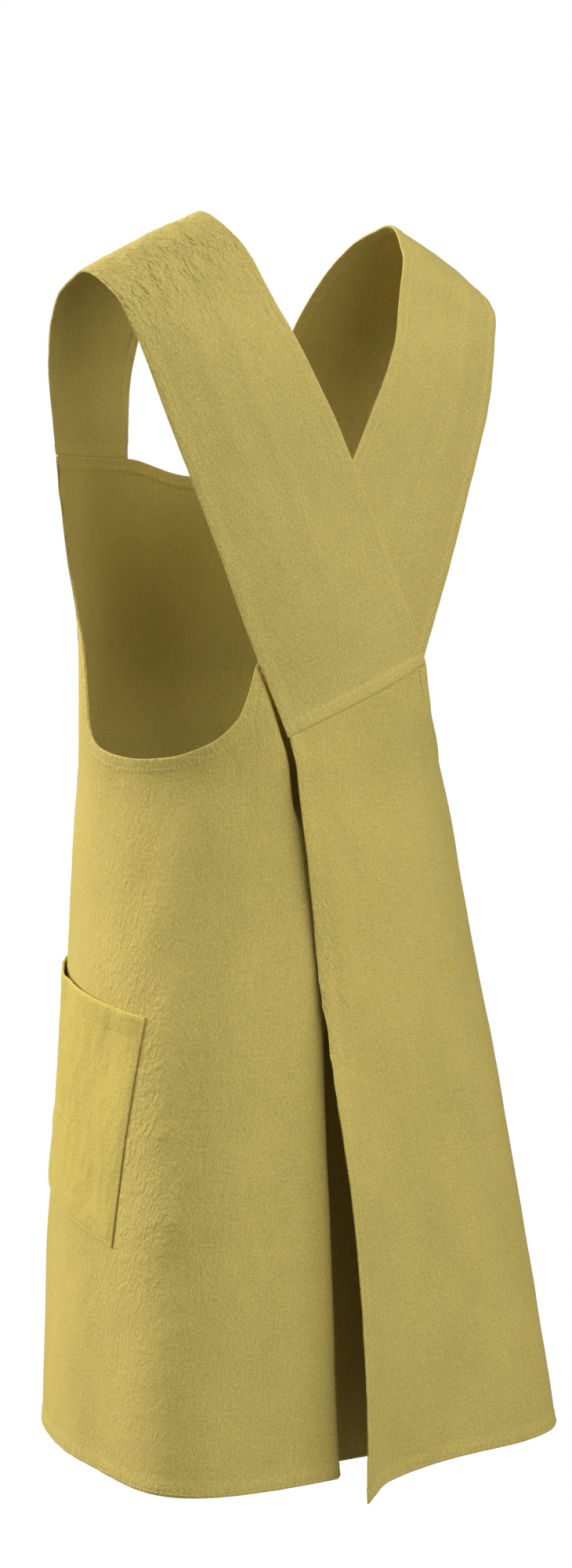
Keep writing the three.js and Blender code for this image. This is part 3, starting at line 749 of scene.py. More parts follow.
class Bench:
    """Puts nodes into one new material or world."""

    def __init__(self, owner: Union[bpy.types.Material, bpy.types.World]) -> None:
        """Args: owner: the material or world."""
        owner.use_nodes = True
        self.owner = owner
        self.nodes, self.links = owner.node_tree.nodes, owner.node_tree.links

    def node(self, kind: str, settings: dict[str, Any], inputs: dict[Any, Any]) -> bpy.types.Node:
        """Add a node.

        Args:
            kind: the node's type.
            settings: its properties, set first.
            inputs: values or links of its sockets, by name or number.
        Returns:
            The node.
        """
        node = self.nodes.new(kind)
        for name, value in settings.items():
            setattr(node, name, value)
        self.feed(node, inputs)
        return node

    def feed(self, node: bpy.types.Node, inputs: dict[Any, Any]) -> None:
        """Set or link the sockets of a node, by name or number."""
        for key, value in inputs.items():
            if isinstance(value, Shade):
                value = value.socket
            if isinstance(value, bpy.types.NodeSocket):
                self.links.new(value, node.inputs[key])
            else:
                node.inputs[key].default_value = value

    def surface(self, inputs: dict[str, Any]) -> bpy.types.Material:
        """Feed the material's own surface, and give back the material."""
        self.feed(self.nodes["Principled BSDF"], inputs)
        return self.owner

    def noise(self, flat: bpy.types.NodeSocket, scale: Sequence[float], detail: float) -> Shade:
        """Noise on the flat cloth.

        Args:
            flat: the cloth's UV in metres.
            scale: cells for each metre across and along.
            detail: number of finer layers.
        Returns:
            The noise, about 0.5.
        """
        stretched = {0: flat, 1: (*scale, 1.0)}
        place = self.node("ShaderNodeVectorMath", {"operation": "MULTIPLY"}, stretched).outputs[0]
        inputs = {"Vector": place, "Scale": 1.0, "Detail": detail}
        made = self.node("ShaderNodeTexNoise", {"noise_dimensions": "2D"}, inputs)
        return Shade(self, made.outputs[0])

    def mark(self, name: str) -> Shade:
        """A number that the mesh holds at its points."""
        node = self.node("ShaderNodeAttribute", {"attribute_name": name}, {})
        return Shade(self, node.outputs["Fac"])

    def blend(self, factor: Shade, dark: Colour, light: Colour) -> bpy.types.NodeSocket:
        """A colour between two, by a factor from 0 to 1."""
        inputs = {0: factor, 6: (*dark, 1.0), 7: (*light, 1.0)}
        return self.node("ShaderNodeMix", {"data_type": "RGBA"}, inputs).outputs[2]

    def relief(self, height: Shade, strength: float) -> bpy.types.NodeSocket:
        """Normals of a fine relief, whose height is in metres."""
        inputs = {"Height": height, "Strength": strength, "Distance": 1.0}
        return self.node("ShaderNodeBump", {}, inputs).outputs[0]

    def show(self, lit: bpy.types.Node, white: bpy.types.Node, output: str) -> None:
        """Light the scene as one shader, and show another one where it is seen.

        Args:
            lit: the shader that lights the scene.
            white: the shader that the camera sees.
            output: the name of the output node.
        """
        seen = self.node("ShaderNodeLightPath", {}, {}).outputs["Is Camera Ray"]
        shaders = {0: seen, 1: lit.outputs[0], 2: white.outputs[0]}
        both = self.node("ShaderNodeMixShader", {}, shaders)
        self.links.new(both.outputs[0], self.nodes[output].inputs[0])


def scaled(colour: Colour, factor: float, extra: float = 0.0, most: float = 0.95) -> Colour:
    """A colour made lighter or darker, at most to a given value."""
    return tuple(min(most, c * factor + extra) for c in colour)


@dataclass(frozen=True)
class WovenFinish:
    """Woven cotton and linen cloth, dyed in the piece."""

    name: str
    colour: Colour
    crinkles: tuple[float, float] = (180.0, 100.0)
    pitch: float = 0.00125
    waver: float = 2.2
    contrast: float = 0.30
    roughness: float = 0.88
    sheen: float = 0.25
    crease_height: float = 0.0027
    crinkle_height: float = 0.0002
    # how far the mark read in build moves the tone: paler wear at edges, and painted seam shade at
    # the straps' ends
    wear_and_shade_tone: float = 0.16
    # cells across and along, detail, weight in the tone, height; grain comes first
    threads: Rows = (
        (1050.0, 1050.0, 1.0, 2.2, 0.00012),
        (1500.0, 55.0, 2.0, 1.15, 0.00024),
        (40.0, 1500.0, 2.0, 0.6, 0.00012),
        (520.0, 420.0, 2.0, 1.5, 0.00032),
        (16.0, 12.0, 3.0, 0.7, 0.0),
    )

    def build(self) -> bpy.types.Material:
        """Make the material.

        Returns:
            The material, which reads the cloth's UV map and its marks.
        """
        bench = Bench(bpy.data.materials.new(self.name))
        flat = bench.node("ShaderNodeUVMap", {"uv_map": UV_NAME}, {}).outputs[0]
        parts = bench.node("ShaderNodeSeparateXYZ", {}, {0: flat})
        u, v = Shade(bench, parts.outputs[0]), Shade(bench, parts.outputs[1])
        turn = 2 * math.pi / self.pitch
        waver = bench.noise(flat, (90.0, 90.0), 1.0) * self.waver
        weave = (u * turn + waver).sine() * (v * turn + waver).sine()
        twill = ((u + v * 0.8) * (turn * 0.62) + waver).sine()
        tone = 0.5 + weave * (0.20 * self.contrast) + twill * (0.16 * self.contrast)
        # the mark read here makes the cloth paler where its edges wear, and darker in a painted shade
        # line at each strap's sewn end
        tone = tone + bench.mark("wear_and_seam_shade") * self.wear_and_shade_tone
        crinkle = bench.noise(flat, self.crinkles, 2.0)
        pressed = (crinkle - 0.5).size() * bench.mark("crinkle")
        height = pressed * self.crease_height + crinkle * self.crinkle_height
        height = height + weave * 0.00006 + twill * 0.00004
        noises = [bench.noise(flat, row[:2], row[2]) for row in self.threads]
        for noise, (_, _, _, weight, high) in zip(noises, self.threads):
            tone = tone + (noise - 0.5) * (weight * self.contrast)
            height = height + noise * high
        dark, light = scaled(self.colour, 0.58), scaled(self.colour, 1.42, 0.012)
        return bench.surface({
            "Base Color": bench.blend(tone, dark, light),
            "Roughness": (noises[0] - 0.5) * 0.12 + self.roughness,
            "Normal": bench.relief(height, 0.8),
            "Sheen Weight": self.sheen,
            "Sheen Roughness": 0.55,
            "Sheen Tint": (*scaled(self.colour, 1.3, 0.15, 1.0), 1.0),
            "Specular IOR Level": 0.18,
        })


@dataclass(frozen=True)
class ThreadFinish:
    """Sewing thread of the cloth's colour, a little lighter and with a soft gloss."""

    name: str
    colour: Colour
    twist: float = 900.0
    height: float = 0.0002
    roughness: float = 0.62

    def build(self) -> bpy.types.Material:
        """Make the material.

        Returns:
            The material, which reads Object coordinates.
        """
        bench = Bench(bpy.data.materials.new(self.name))
        place = bench.node("ShaderNodeTexCoord", {}, {}).outputs["Object"]
        inputs = {"Vector": place, "Scale": self.twist, "Detail": 1.0}
        shade = Shade(bench, bench.node("ShaderNodeTexNoise", {}, inputs).outputs[0])
        return bench.surface({
            "Base Color": bench.blend(shade, scaled(self.colour, 0.8), scaled(self.colour, 1.15)),
            "Roughness": (shade - 0.5) * 0.15 + self.roughness,
            "Normal": bench.relief(shade * self.height, 0.7),
            "Sheen Weight": 0.2,
        })


# ----------------------------------------------------------------------------- assemblies

RIM, RIM_LEAST = 0.0009, 0.55
SEAM_FADE, SEAM_LEAST = 0.0012, 0.5
STEP = 0.0012
GROOVE_DEPTH, GROOVE_WIDTH = 0.00030, 0.0012


@dataclass
class Dressed:
    """What one sub-assembly hands to main: its cloth, its stitches and what they stand for."""

    cloth: bpy.types.Object
    stitches: bpy.types.Object
    node: str


def edge_offsets(hem: float) -> Array:
    """Distances from an edge at which a cloth with a turned edge needs rows."""
    inner = (hem - 0.0018, hem - 0.0009, hem, hem + STEP, hem + 0.0036)
    return np.array([0.0, 0.0006, 0.0018, 0.0042, *inner])


def turned_thickness(distance: Array, single: float, turned: float, hem: float) -> Array:
    """Thickness of a cloth near its turned edge.

    Args:
        distance: distance from the edge.
        single: thickness of the cloth alone.
        turned: thickness of the turned edge.
        hem: width of the turned edge.
    Returns:
        The thickness at each point, rounded off at the edge itself.
    """
    near = 1 - smooth(hem, hem + STEP, distance)
    return mix(single, turned, near) * taper(RIM_LEAST, RIM, distance)


def groove(distance: Array, line: float) -> Array:
    """The groove that a line of stitches pulls into the cloth."""
    return -GROOVE_DEPTH * bump(distance, line, GROOVE_WIDTH)


def edge_wear(distance: Array, hem: float) -> Array:
    """How much paler a cloth is at its edge and at the step of its turned edge."""
    return 0.6 * bump(distance, 0.0, 0.0012) + 0.35 * bump(distance, hem - 0.001, 0.0016)


@dataclass(frozen=True)
class Patch:
    """A rounded patch of one side: place round the body and drop, with their widths."""

    side: Side
    around: float
    wide: float
    drop: float
    tall: float

    def on(self, g: Array, drop: Array) -> Array:
        """The patch's strength, 1 in its middle."""
        near = bump(np.abs(g), self.around, self.wide) * bump(drop, self.drop, self.tall)
        return self.side.holds(g) * near


@dataclass
class ApronBody:
    """Bib, skirt and both back panels, which are one cloth."""

    shape: WornShape
    single: float = 0.0009
    turned: float = 0.0019
    stitch_line: float = 0.0080
    edge_line: float = 0.0016
    front_step: float = 0.0050
    left_step: float = 0.0028
    right_step: float = 0.0032
    rows: int = 112
    flat_size: tuple[float, float] = (1.33, 0.724)
    flat_area: float = 0.65
    # how the outer panel's lower tip bends, and how far from both edges
    curl: tuple[float, float, float] = (0.0033, 0.00385, -0.00605)
    curl_from_free: float = 0.014
    curl_from_hem: float = 0.020
    # how the outer panel's free edge turns inwards, and round which drop
    tuck: float = 0.0085
    tuck_width: float = 0.021
    tuck_drop: float = 0.615
    tuck_tall: float = 0.085
    armhole_pull: float = 0.008
    pulled: Patch = Patch(Side.RIGHT, 0.66, 0.13, 0.42, 0.036)
    beside_pocket: Patch = Patch(Side.LEFT, 0.69, 0.09, 0.76, 0.14)
    beside_edge: Patch = Patch(Side.RIGHT, 1.05, 0.035, 0.60, 0.12)
    crinkled: Patch = Patch(Side.LEFT, 0.62, 0.12, 0.72, 0.18)

    def columns(self, step: float) -> Array:
        """Places round one half.

        Args:
            step: spacing of the places past the bib's corner.
        Returns:
            Shares of the half girth, rising.
        """
        s = self.shape
        neck = spread(0, s.neck_around, s.chest, self.front_step)
        seat = spread(s.neck_around, s.bib_corner, s.chest, self.front_step)
        shares = np.linspace(s.bib_corner, s.seam_around, 1200)
        line = np.stack([shares * s.chest, s.top(shares) / 2], axis=-1)
        hole = mix(s.bib_corner, s.seam_around, even_places(line, step))[:-1]
        band = s.free_top - edge_offsets(s.hem)[::-1] / s.chest
        back = spread(s.seam_around, band[0], s.chest, step)
        return np.concatenate([neck, seat, hole, back, band])

    def heights(self, share: Array, step: float = 0.002, steepest: float = 3.0) -> Array:
        """Heights of the rows at each place.

        Args:
            share: the places round the body.
            step: share over which the upper edge's slope is measured.
            steepest: most that a band along the upper edge is stretched downwards.
        Returns:
            The heights, lowest row first.
        """
        s = self.shape
        high, low = np.clip(share + step, 0, s.free_top), np.clip(share - step, 0, s.free_top)
        slope = (s.top(high) - s.top(low)) / ((high - low) * s.chest)
        on_hole = (share > s.bib_corner) & (share < s.seam_around)
        band = np.where(on_hole, np.minimum(steepest, np.hypot(1, slope)), 1.0)
        offsets = edge_offsets(s.hem)[:, None]
        upper = s.top(np.minimum(share, s.free_top)) - offsets[::-1] * band
        lower = np.repeat(offsets - s.hem_drop, len(share), axis=1)
        middle = mix(lower[-1], upper[0], np.linspace(0, 1, self.rows)[1:-1, None])
        return np.concatenate([lower, middle, upper])

    def edge_distance(self, g: Array, z: Array) -> tuple[Array, Array, Array]:
        """Distances from the turned edges.

        Args:
            g: place round the body.
            z: height.
        Returns:
            Distance from the upper edge, from the free edge and from the hem.
        """
        s = self.shape
        across = np.abs(g) * s.chest
        upper = np.full(np.shape(across), 1.0)
        for x, top in s.hole_line():
            upper = np.minimum(upper, np.hypot(across - x, z - top))
        free = (s.free_around(z) - s.around(g, z)) * s.half_girth(z)
        return upper, np.maximum(free, 0), z + s.hem_drop

    def surface(self, g: Array, z: Array) -> tuple[Array, Array]:
        """The finished middle surface, with folds and relief.

        Args:
            g: place round the body.
            z: height.
        Returns:
            The points and the directions out of the body.
        """
        s = self.shape
        g, z = np.broadcast_arrays(np.asarray(g, float), np.asarray(z, float))
        points, out = s.plain(g, z), s.normal(g, z)
        upper, free, low = self.edge_distance(g, z)
        share, drop, right = np.abs(g), -z / s.hem_drop, Side.RIGHT.holds(g)
        height = s.fold_height(g, z) + drape(points)
        height += groove(upper, self.stitch_line) * (share < s.seam_around)
        height += groove(low, self.stitch_line) + groove(free, self.stitch_line)
        nearest = np.minimum(np.minimum(upper, low), free)
        height += BODY_PUCKER.waves(points) * np.exp(-nearest / PUCKER_FADE)
        height += self.beside_pocket.on(g, drop) * creases(BESIDE_POCKET, points)
        height += self.beside_edge.on(g, drop) * PANEL_CREASES.creases(points)
        height -= self.pulled.on(g, drop) * self.armhole_pull
        turned_in = right * np.clip(1 - free / self.tuck_width, 0, 1)
        turned_in = turned_in * bump(drop, self.tuck_drop, self.tuck_tall)
        height -= turned_in * (self.tuck + TUCK_CREASES.creases(points))
        under_strap = (share > s.seam_around - 0.04) * bump(drop, 0.44, 0.05)
        height += under_strap * SEAM_CREASES.creases(points)
        near = (free / self.curl_from_free) ** 2 + (low / self.curl_from_hem) ** 2
        curled = (right * np.exp(-near))[..., None] * self.curl
        return points + out * height[..., None] + curled, out

    def grid(self) -> ClothGrid:
        """Lay out the whole cloth.

        Returns:
            The grid, from the free edge on the right to that on the left.
        """
        s = self.shape
        right, left = self.columns(self.right_step), self.columns(self.left_step)
        g = np.concatenate([-right[:0:-1], left])
        z = self.heights(np.abs(g))
        g = np.repeat(g[None, :], z.shape[0], axis=0)
        points, _ = self.surface(g, z)
        upper, free, low = self.edge_distance(g, z)
        sewn = np.abs(g) > s.seam_around
        to_seam = s.top(np.minimum(np.abs(g), s.free_top)) - z
        distance = np.minimum(np.where(sewn, np.inf, upper), np.minimum(free, low))
        thickness = turned_thickness(distance, self.single, self.turned, s.hem)
        thickness *= np.where(sewn, taper(SEAM_LEAST, SEAM_FADE, to_seam), 1.0)
        flat = np.stack([s.around(g, z) * np.sign(g) * s.half_girth(z), z], axis=-1)
        crinkle = 0.25 + 0.75 * self.crinkled.on(g, -z / s.hem_drop) + 0.5 * np.exp(-distance / 0.012)
        marks = {"wear_and_seam_shade": edge_wear(distance, s.hem), "crinkle": crinkle}
        return ClothGrid(points, flat, thickness, marks)

    def seams(self) -> Stitching:
        """The stitched lines along the hem, the free edges, the armholes and the neckline."""
        s, half = self.shape, self.turned / 2
        sewing = Stitching("body_stitches")
        for side in Side:
            sign = side.value
            around = np.linspace(0.0005, s.free_top - self.stitch_line / s.chest, 500) * sign
            for line in (self.stitch_line, self.edge_line):
                height = np.full_like(around, -s.hem_drop + line)
                sewing.run(self.surface, around, height, half)
            line = s.hole_line(self.stitch_line)
            around = np.maximum(line[:, 0], 1e-4) / s.chest * sign
            sewing.run(self.surface, around, line[:, 1], half)
            z = np.linspace(-s.hem_drop + self.stitch_line, -s.seam_drop - 0.004, 500)
            back = s.free_around(z) - self.stitch_line / s.half_girth(z)
            around = (s.panel_start + (back - s.panel_start) / s.stretch(z)) * sign
            sewing.run(self.surface, around, z, half)
        return sewing

    def build(self) -> Dressed:
        """Make the cloth and its stitches."""
        return Dressed(self.grid().sew("body_cloth"), self.seams().sew(), "apron_body")


@dataclass
class Strap:
    """One strap, from the bib over the shoulder to the seam with the other side's panel."""

    shape: WornShape
    side: Side
    layer: int
    shoulder_half: float = 0.175
    shoulder_depth: float = 0.088
    crown: float = 0.003
    single: float = 0.0010
    turned: float = 0.0020
    stitch_line: float = 0.0082
    shoulder_crease: float = 0.0016
    shoulder: float = 0.575
    band_lift: float = 0.0003
    step: float = 0.0024
    flat_size: tuple[float, float] = (0.11, 0.66)
    flat_area: float = 0.0667
    # inner edge x, y, z; outer edge x, y, z; how far the strap lies on the body
    rows: Rows = (
        (0.36, -0.95, -0.3, 0.869, -0.56, -0.34, 0.6),
        (0.377, -0.72, -0.182, 0.903, -0.46, -0.262, 0),
        (0.405, -0.36, -0.085, 0.937, -0.3, -0.196, 0),
        (0.434, 0.02, -0.018, 0.966, -0.06, -0.145, 0),
        (0.451, 0.32, 0.006, 0.977, 0.22, -0.12, 0),
        (0.459, 0.574, 0.014, 0.977, 0.455, -0.111, 0),
        (0.417, 0.82, -0.029, 0.949, 0.68, -0.141, 0.15),
        (0.374, 0.86, -0.082, 0.9, 0.93, -0.207, 1),
        (0.238, 1.28, -0.245, 0.8, 1.1, -0.367, 1),
        (0.067, 1.36, -0.408, 0.663, 1.17, -0.543, 1),
        (-0.171, 1.36, -0.639, 0.486, 1.24, -0.761, 1),
    )
    # height, place across, sway, width; start and end of the rise, then of the fall, along it
    ridges: Rows = (
        (0.0006, 0.40, 0.05, 0.05, 0.55, 0.65, 0.9, 0.98),
        (0.0005, 0.66, 0.0, 0.06, 0.45, 0.6, 0.8, 0.95),
    )

    def __post_init__(self) -> None:
        """Bring the rows to metres and add the seams at both ends."""
        s = self.shape
        scale = np.array([self.shoulder_half, self.shoulder_depth, s.seam_drop] * 2 + [1])
        upper, lower = -s.seam_drop + s.seam_rise, -s.seam_drop
        corner = s.on_section(np.array(s.bib_corner), np.array(-s.bib_drop))
        x = np.array([s.neck_half, s.seam_outer, s.seam_inner])
        z = np.array([-s.bib_drop, upper, lower])
        y = s.body_y(x, z, np.array([False, True, True]))
        first = [x[0], y[0], z[0], *corner, -s.bib_drop, 1]
        last = [-x[1], y[1], z[1], x[2], y[2], z[2], 1]
        self.path = np.vstack([first, np.array(self.rows) * scale, last])

    def _along(self, along: Array) -> Array:
        """The rows' values at a share from the bib to the back seam."""
        values = self.path
        span = len(values) - 1
        at = np.clip(along, 0, 1) * span
        i = np.minimum(at.astype(int), span - 1)
        f = (at - i)[..., None]
        a, b = values[np.maximum(i - 1, 0)], values[i]
        c, d = values[i + 1], values[np.minimum(i + 2, span)]
        square, cube = 2 * a - 5 * b + 4 * c - d, 3 * b - a - 3 * c + d
        return 0.5 * (2 * b + (c - a) * f + square * f**2 + cube * f**3)

    def plain(self, across: Array, along: Array) -> Array:
        """Points on the middle of the strap.

        Args:
            across: 0 at the inner edge, 1 at the outer one.
            along: 0 at the bib, 1 at the back seam.
        Returns:
            The points.
        """
        s = self.shape
        across, along = np.broadcast_arrays(np.asarray(across, float), np.asarray(along, float))
        row = self._along(along)
        x, free, z = (mix(row[..., k], row[..., k + 3], across) for k in range(3))
        on_body = np.clip(row[..., 6], 0, 1)
        highest = -s.sections[0][0] * s.hem_drop
        y = mix(free, s.body_y(x, np.minimum(z, highest), along >= 0.5), on_body)
        crown = self.crown * 4 * across * (1 - across) * (1 - on_body)
        lift = self.layer * s.layer_step * smooth(0.6, 0.72, along)
        y = y + lift + crown * np.clip(y / self.shoulder_depth, -1, 1)
        return np.stack([self.side.value * x, y, z + crown], axis=-1)

    def width(self, along: Array) -> Array:
        """The strap's width at a place along it."""
        return np.linalg.norm(self.plain(1.0, along) - self.plain(0.0, along), axis=-1)

    def centre_line(self) -> tuple[Array, Array, Array]:
        """Places along the strap's middle, the points there and its length up to each."""
        along = np.linspace(0, 1, 900)
        centre = self.plain(0.5, along)
        return along, centre, run_lengths(centre)

    def surface(self, across: Array, along: Array) -> tuple[Array, Array]:
        """The finished middle surface, with relief.

        Args:
            across: share from the inner to the outer edge.
            along: share from the bib to the back seam.
        Returns:
            The points and the directions out of the body.
        """
        across, along = np.broadcast_arrays(np.asarray(across, float), np.asarray(along, float))
        points = self.plain(across, along)
        step = 0.004
        inside = (np.clip(share, step, 1 - step) for share in (across, along))
        out = normals_of(self.plain, *inside, step, step) * self.side.value
        edge = np.minimum(across, 1 - across) * self.width(along)
        height = drape(points) + groove(edge, self.stitch_line)
        height += STRAP_PUCKER.waves(points) * np.exp(-edge / PUCKER_FADE)
        shoulder = self.shoulder_crease * bump(along, self.shoulder, 0.09)
        height += shoulder * smooth(0.004, 0.022, edge) * creases(SHOULDER_CREASES, points)
        for high, place, sway, wide, start, full, fall, end in self.ridges:
            ridge = high * bump(across, place + sway * np.sin(9 * along), wide)
            height += ridge * smooth(start, full, along) * (1 - smooth(fall, end, along))
        return points + out * height[..., None], out

    def grid(self) -> ClothGrid:
        """Lay out the strap."""
        s = self.shape
        fine, centre, run = self.centre_line()
        offsets = edge_offsets(s.hem)
        ends = np.interp(np.concatenate([offsets, run[-1] - offsets]), run, fine)
        even = even_places(centre, self.step)
        inner = even[(even > ends[len(offsets) - 1]) & (even < ends[-1])]
        along = np.unique(np.round(np.concatenate([ends, inner]), 7))
        width = self.width(along)[:, None]
        count = round(float(width.mean()) / self.step) - 6
        near = offsets / width
        middle = mix(near[:, -1:], 1 - near[:, -1:], np.linspace(0, 1, count)[1:-1])
        across = np.concatenate([near, middle, 1 - near[:, ::-1]], axis=1)
        long = np.repeat(along[:, None], across.shape[1], axis=1)
        points, out = self.surface(across, long)
        edge = np.minimum(across, 1 - across) * width
        from_start = np.interp(long, fine, run)
        to_end = np.minimum(from_start, run[-1] - from_start)
        band = 1 - smooth(s.hem, s.hem + STEP, to_end)
        thickness = turned_thickness(edge, self.single, self.turned, s.hem)
        thickness = np.maximum(thickness, band * self.turned * taper(RIM_LEAST, RIM, edge))
        thickness *= taper(SEAM_LEAST, SEAM_FADE, to_end)
        lift = self.band_lift * band * smooth(0.0, SEAM_FADE, to_end)
        points = points + out * lift[..., None]
        # paler at the edges and along the band at each end; the dark line right at each end is
        # painted shade, where the strap is sewn on
        wear_and_seam_shade = edge_wear(edge, s.hem) + 0.45 * band * smooth(0.0008, 0.002, to_end)
        wear_and_seam_shade = wear_and_seam_shade - 0.9 * bump(to_end, 0.0, 0.0006)
        creased = self.shoulder_crease / Strap.shoulder_crease * bump(long, self.shoulder, 0.095)
        crinkle = 0.15 + 2.5 * creased + 0.3 * np.exp(-edge / 0.012)
        flat = np.stack([across * width, from_start], axis=-1)
        marks = {"wear_and_seam_shade": wear_and_seam_shade, "crinkle": crinkle}
        return ClothGrid(points, flat, thickness, marks).facing_out(self.side)

    def seams(self) -> Stitching:
        """The stitched lines along both edges, and along the band at each end."""
        sewing = Stitching(f"{self.side.label}_strap_stitches")
        half = self.turned / 2
        along = np.linspace(0.002, 0.998, 900)
        inset = self.stitch_line / self.width(along)
        for across in (inset, 1 - inset):
            sewing.run(self.surface, across, along, half)
        fine, _, run = self.centre_line()
        across = np.linspace(0.02, 0.98, 120)
        for place in (self.stitch_line, run[-1] - self.stitch_line):
            along = np.full_like(across, np.interp(place, run, fine))
            sewing.run(self.surface, across, along, half + 0.0002)
        return sewing

    def build(self) -> Dressed:
        """Make the strap and its stitches."""
        name = f"{self.side.label}_strap"
        return Dressed(self.grid().sew(f"{name}_cloth"), self.seams().sew(), name)


@dataclass
class Pocket:
    """A patch pocket on one side, whose mouth gapes a little."""

    body: ApronBody
    side: Side
    width: float = 0.182
    height: float = 0.166
    drop: float = 0.635
    around: float = 0.428
    tilt: float = math.radians(8)
    lean: float = math.radians(12)
    lean_back: float = 0.0025
    mouth: float = 0.0018
    hem: float = 0.0145
    single: float = 0.0009
    turned: float = 0.0019
    turned_side: float = 0.006
    side_line: float = 0.0022
    tack_line: float = 0.0085
    dog_ear: float = 0.30
    dog_ear_height: float = 0.0015
    crinkle: float = 0.35
    step: float = 0.0024

    def place(self, across: Array, up: Array) -> tuple[Array, Array]:
        """Place round the body and height of a point of the patch."""
        girth = float(self.body.shape.half_girth(np.array(-self.drop)))
        right, rise = (across - 0.5) * self.width, (up - 0.5) * self.height
        run = right * math.cos(self.tilt) + rise * math.sin(self.lean) - self.lean_back
        high = rise * math.cos(self.tilt) - right * math.sin(self.tilt)
        return self.side.value * (self.around + run / girth), -self.drop + high

    def edges(self, across: Array, up: Array) -> tuple[Array, Array]:
        """Distance from the nearest sewn edge, and from the mouth."""
        side = np.minimum(across, 1 - across) * self.width
        return np.minimum(side, up * self.height), (1 - up) * self.height

    def surface(self, across: Array, up: Array) -> tuple[Array, Array]:
        """The finished middle surface.

        Args:
            across: share of the width from the front edge.
            up: share of the height from the lower edge.
        Returns:
            The points and the directions out of the body.
        """
        across, up = np.broadcast_arrays(np.asarray(across, float), np.asarray(up, float))
        points, out = self.body.surface(*self.place(across, up))
        rim, top = self.edges(across, up)
        gape = np.sin(math.pi * np.clip(across, 0, 1) ** 0.85) ** 1.4 * smooth(0, 0.85, up)
        height = 0.0013 + 0.0012 * smooth(0.0, 0.012, rim) + self.mouth * gape
        height += groove(top, self.hem) + groove(rim, self.side_line)
        height += smooth(0, 0.01, rim) * POCKET_CREASES.creases(points)
        height += smooth(0, 0.03, rim) * POCKET_WAVES.waves(points)
        ear = bump(across, self.dog_ear, 0.07) * smooth(0.82, 1.0, up)
        height += self.dog_ear_height * ear
        return points + out * height[..., None], out

    def grid(self) -> ClothGrid:
        """Lay out the patch."""
        offsets = np.array([0, 0.0006, 0.0014, 0.0024, 0.0036, 0.0056])
        hem = self.hem + np.array([-STEP, 0, STEP, 0.004])
        near, low = offsets / self.width, offsets / self.height
        high = np.concatenate([[0, 0.0007, 0.004, 0.009], hem]) / self.height
        columns, rows = round(self.width / self.step), round(self.height / self.step)
        middle = np.linspace(near[-1], 1 - near[-1], columns)[1:-1]
        across = np.concatenate([near, middle, 1 - near[::-1]])
        middle = np.linspace(low[-1], 1 - high[-1], rows)[1:-1]
        up = np.concatenate([low, middle, 1 - high[::-1]])
        wide, tall = np.meshgrid(across, up)
        points, _ = self.surface(wide, tall)
        rim, top = self.edges(wide, tall)
        at_mouth = 1 - smooth(self.hem, self.hem + STEP, top)
        at_side = 1 - smooth(self.turned_side, self.turned_side + 0.0015, rim)
        mouth, side = (mix(self.single, self.turned, near) for near in (at_mouth, at_side))
        edge = np.minimum(rim, top)
        thickness = np.maximum(mouth, side * 0.9) * taper(SEAM_LEAST, 0.0008, edge)
        flat = np.stack([wide * self.width, tall * self.height], axis=-1)
        wear_and_seam_shade = 0.7 * bump(edge, 0.0, 0.0012) + 0.3 * bump(top, self.hem, 0.0015)
        marks = {"wear_and_seam_shade": wear_and_seam_shade, "crinkle": np.full_like(wide, self.crinkle)}
        return ClothGrid(points, flat, thickness, marks).facing_out(self.side)

    def seams(self) -> Stitching:
        """The stitched lines along the sewn edges and the mouth's hem."""
        sewing = Stitching(f"{self.side.label}_pocket_stitches")
        inset, low = self.side_line / self.width, self.side_line / self.height
        tack, hem = self.tack_line / self.width, 1 - self.hem / self.height
        # start and end of each line: across and up
        for start, end in (
            ((inset, low), (inset, 1)), ((1 - inset, low), (1 - inset, 1)),
            ((inset, low), (1 - inset, low)), ((inset, hem), (1 - inset, hem)),
            ((1 - tack, hem), (1 - tack, 1)), ((tack, hem), (tack, 1)),
        ):
            across, up = np.linspace(start, end, 160).T
            sewing.run(self.surface, across, up, 0.45 * self.turned)
        return sewing

    def build(self) -> Dressed:
        """Make the pocket and its stitches."""
        name = f"{self.side.label}_pocket"
        return Dressed(self.grid().sew(f"{name}_cloth"), self.seams().sew(), name)


# --------------------------------------------------------------------------------- studio


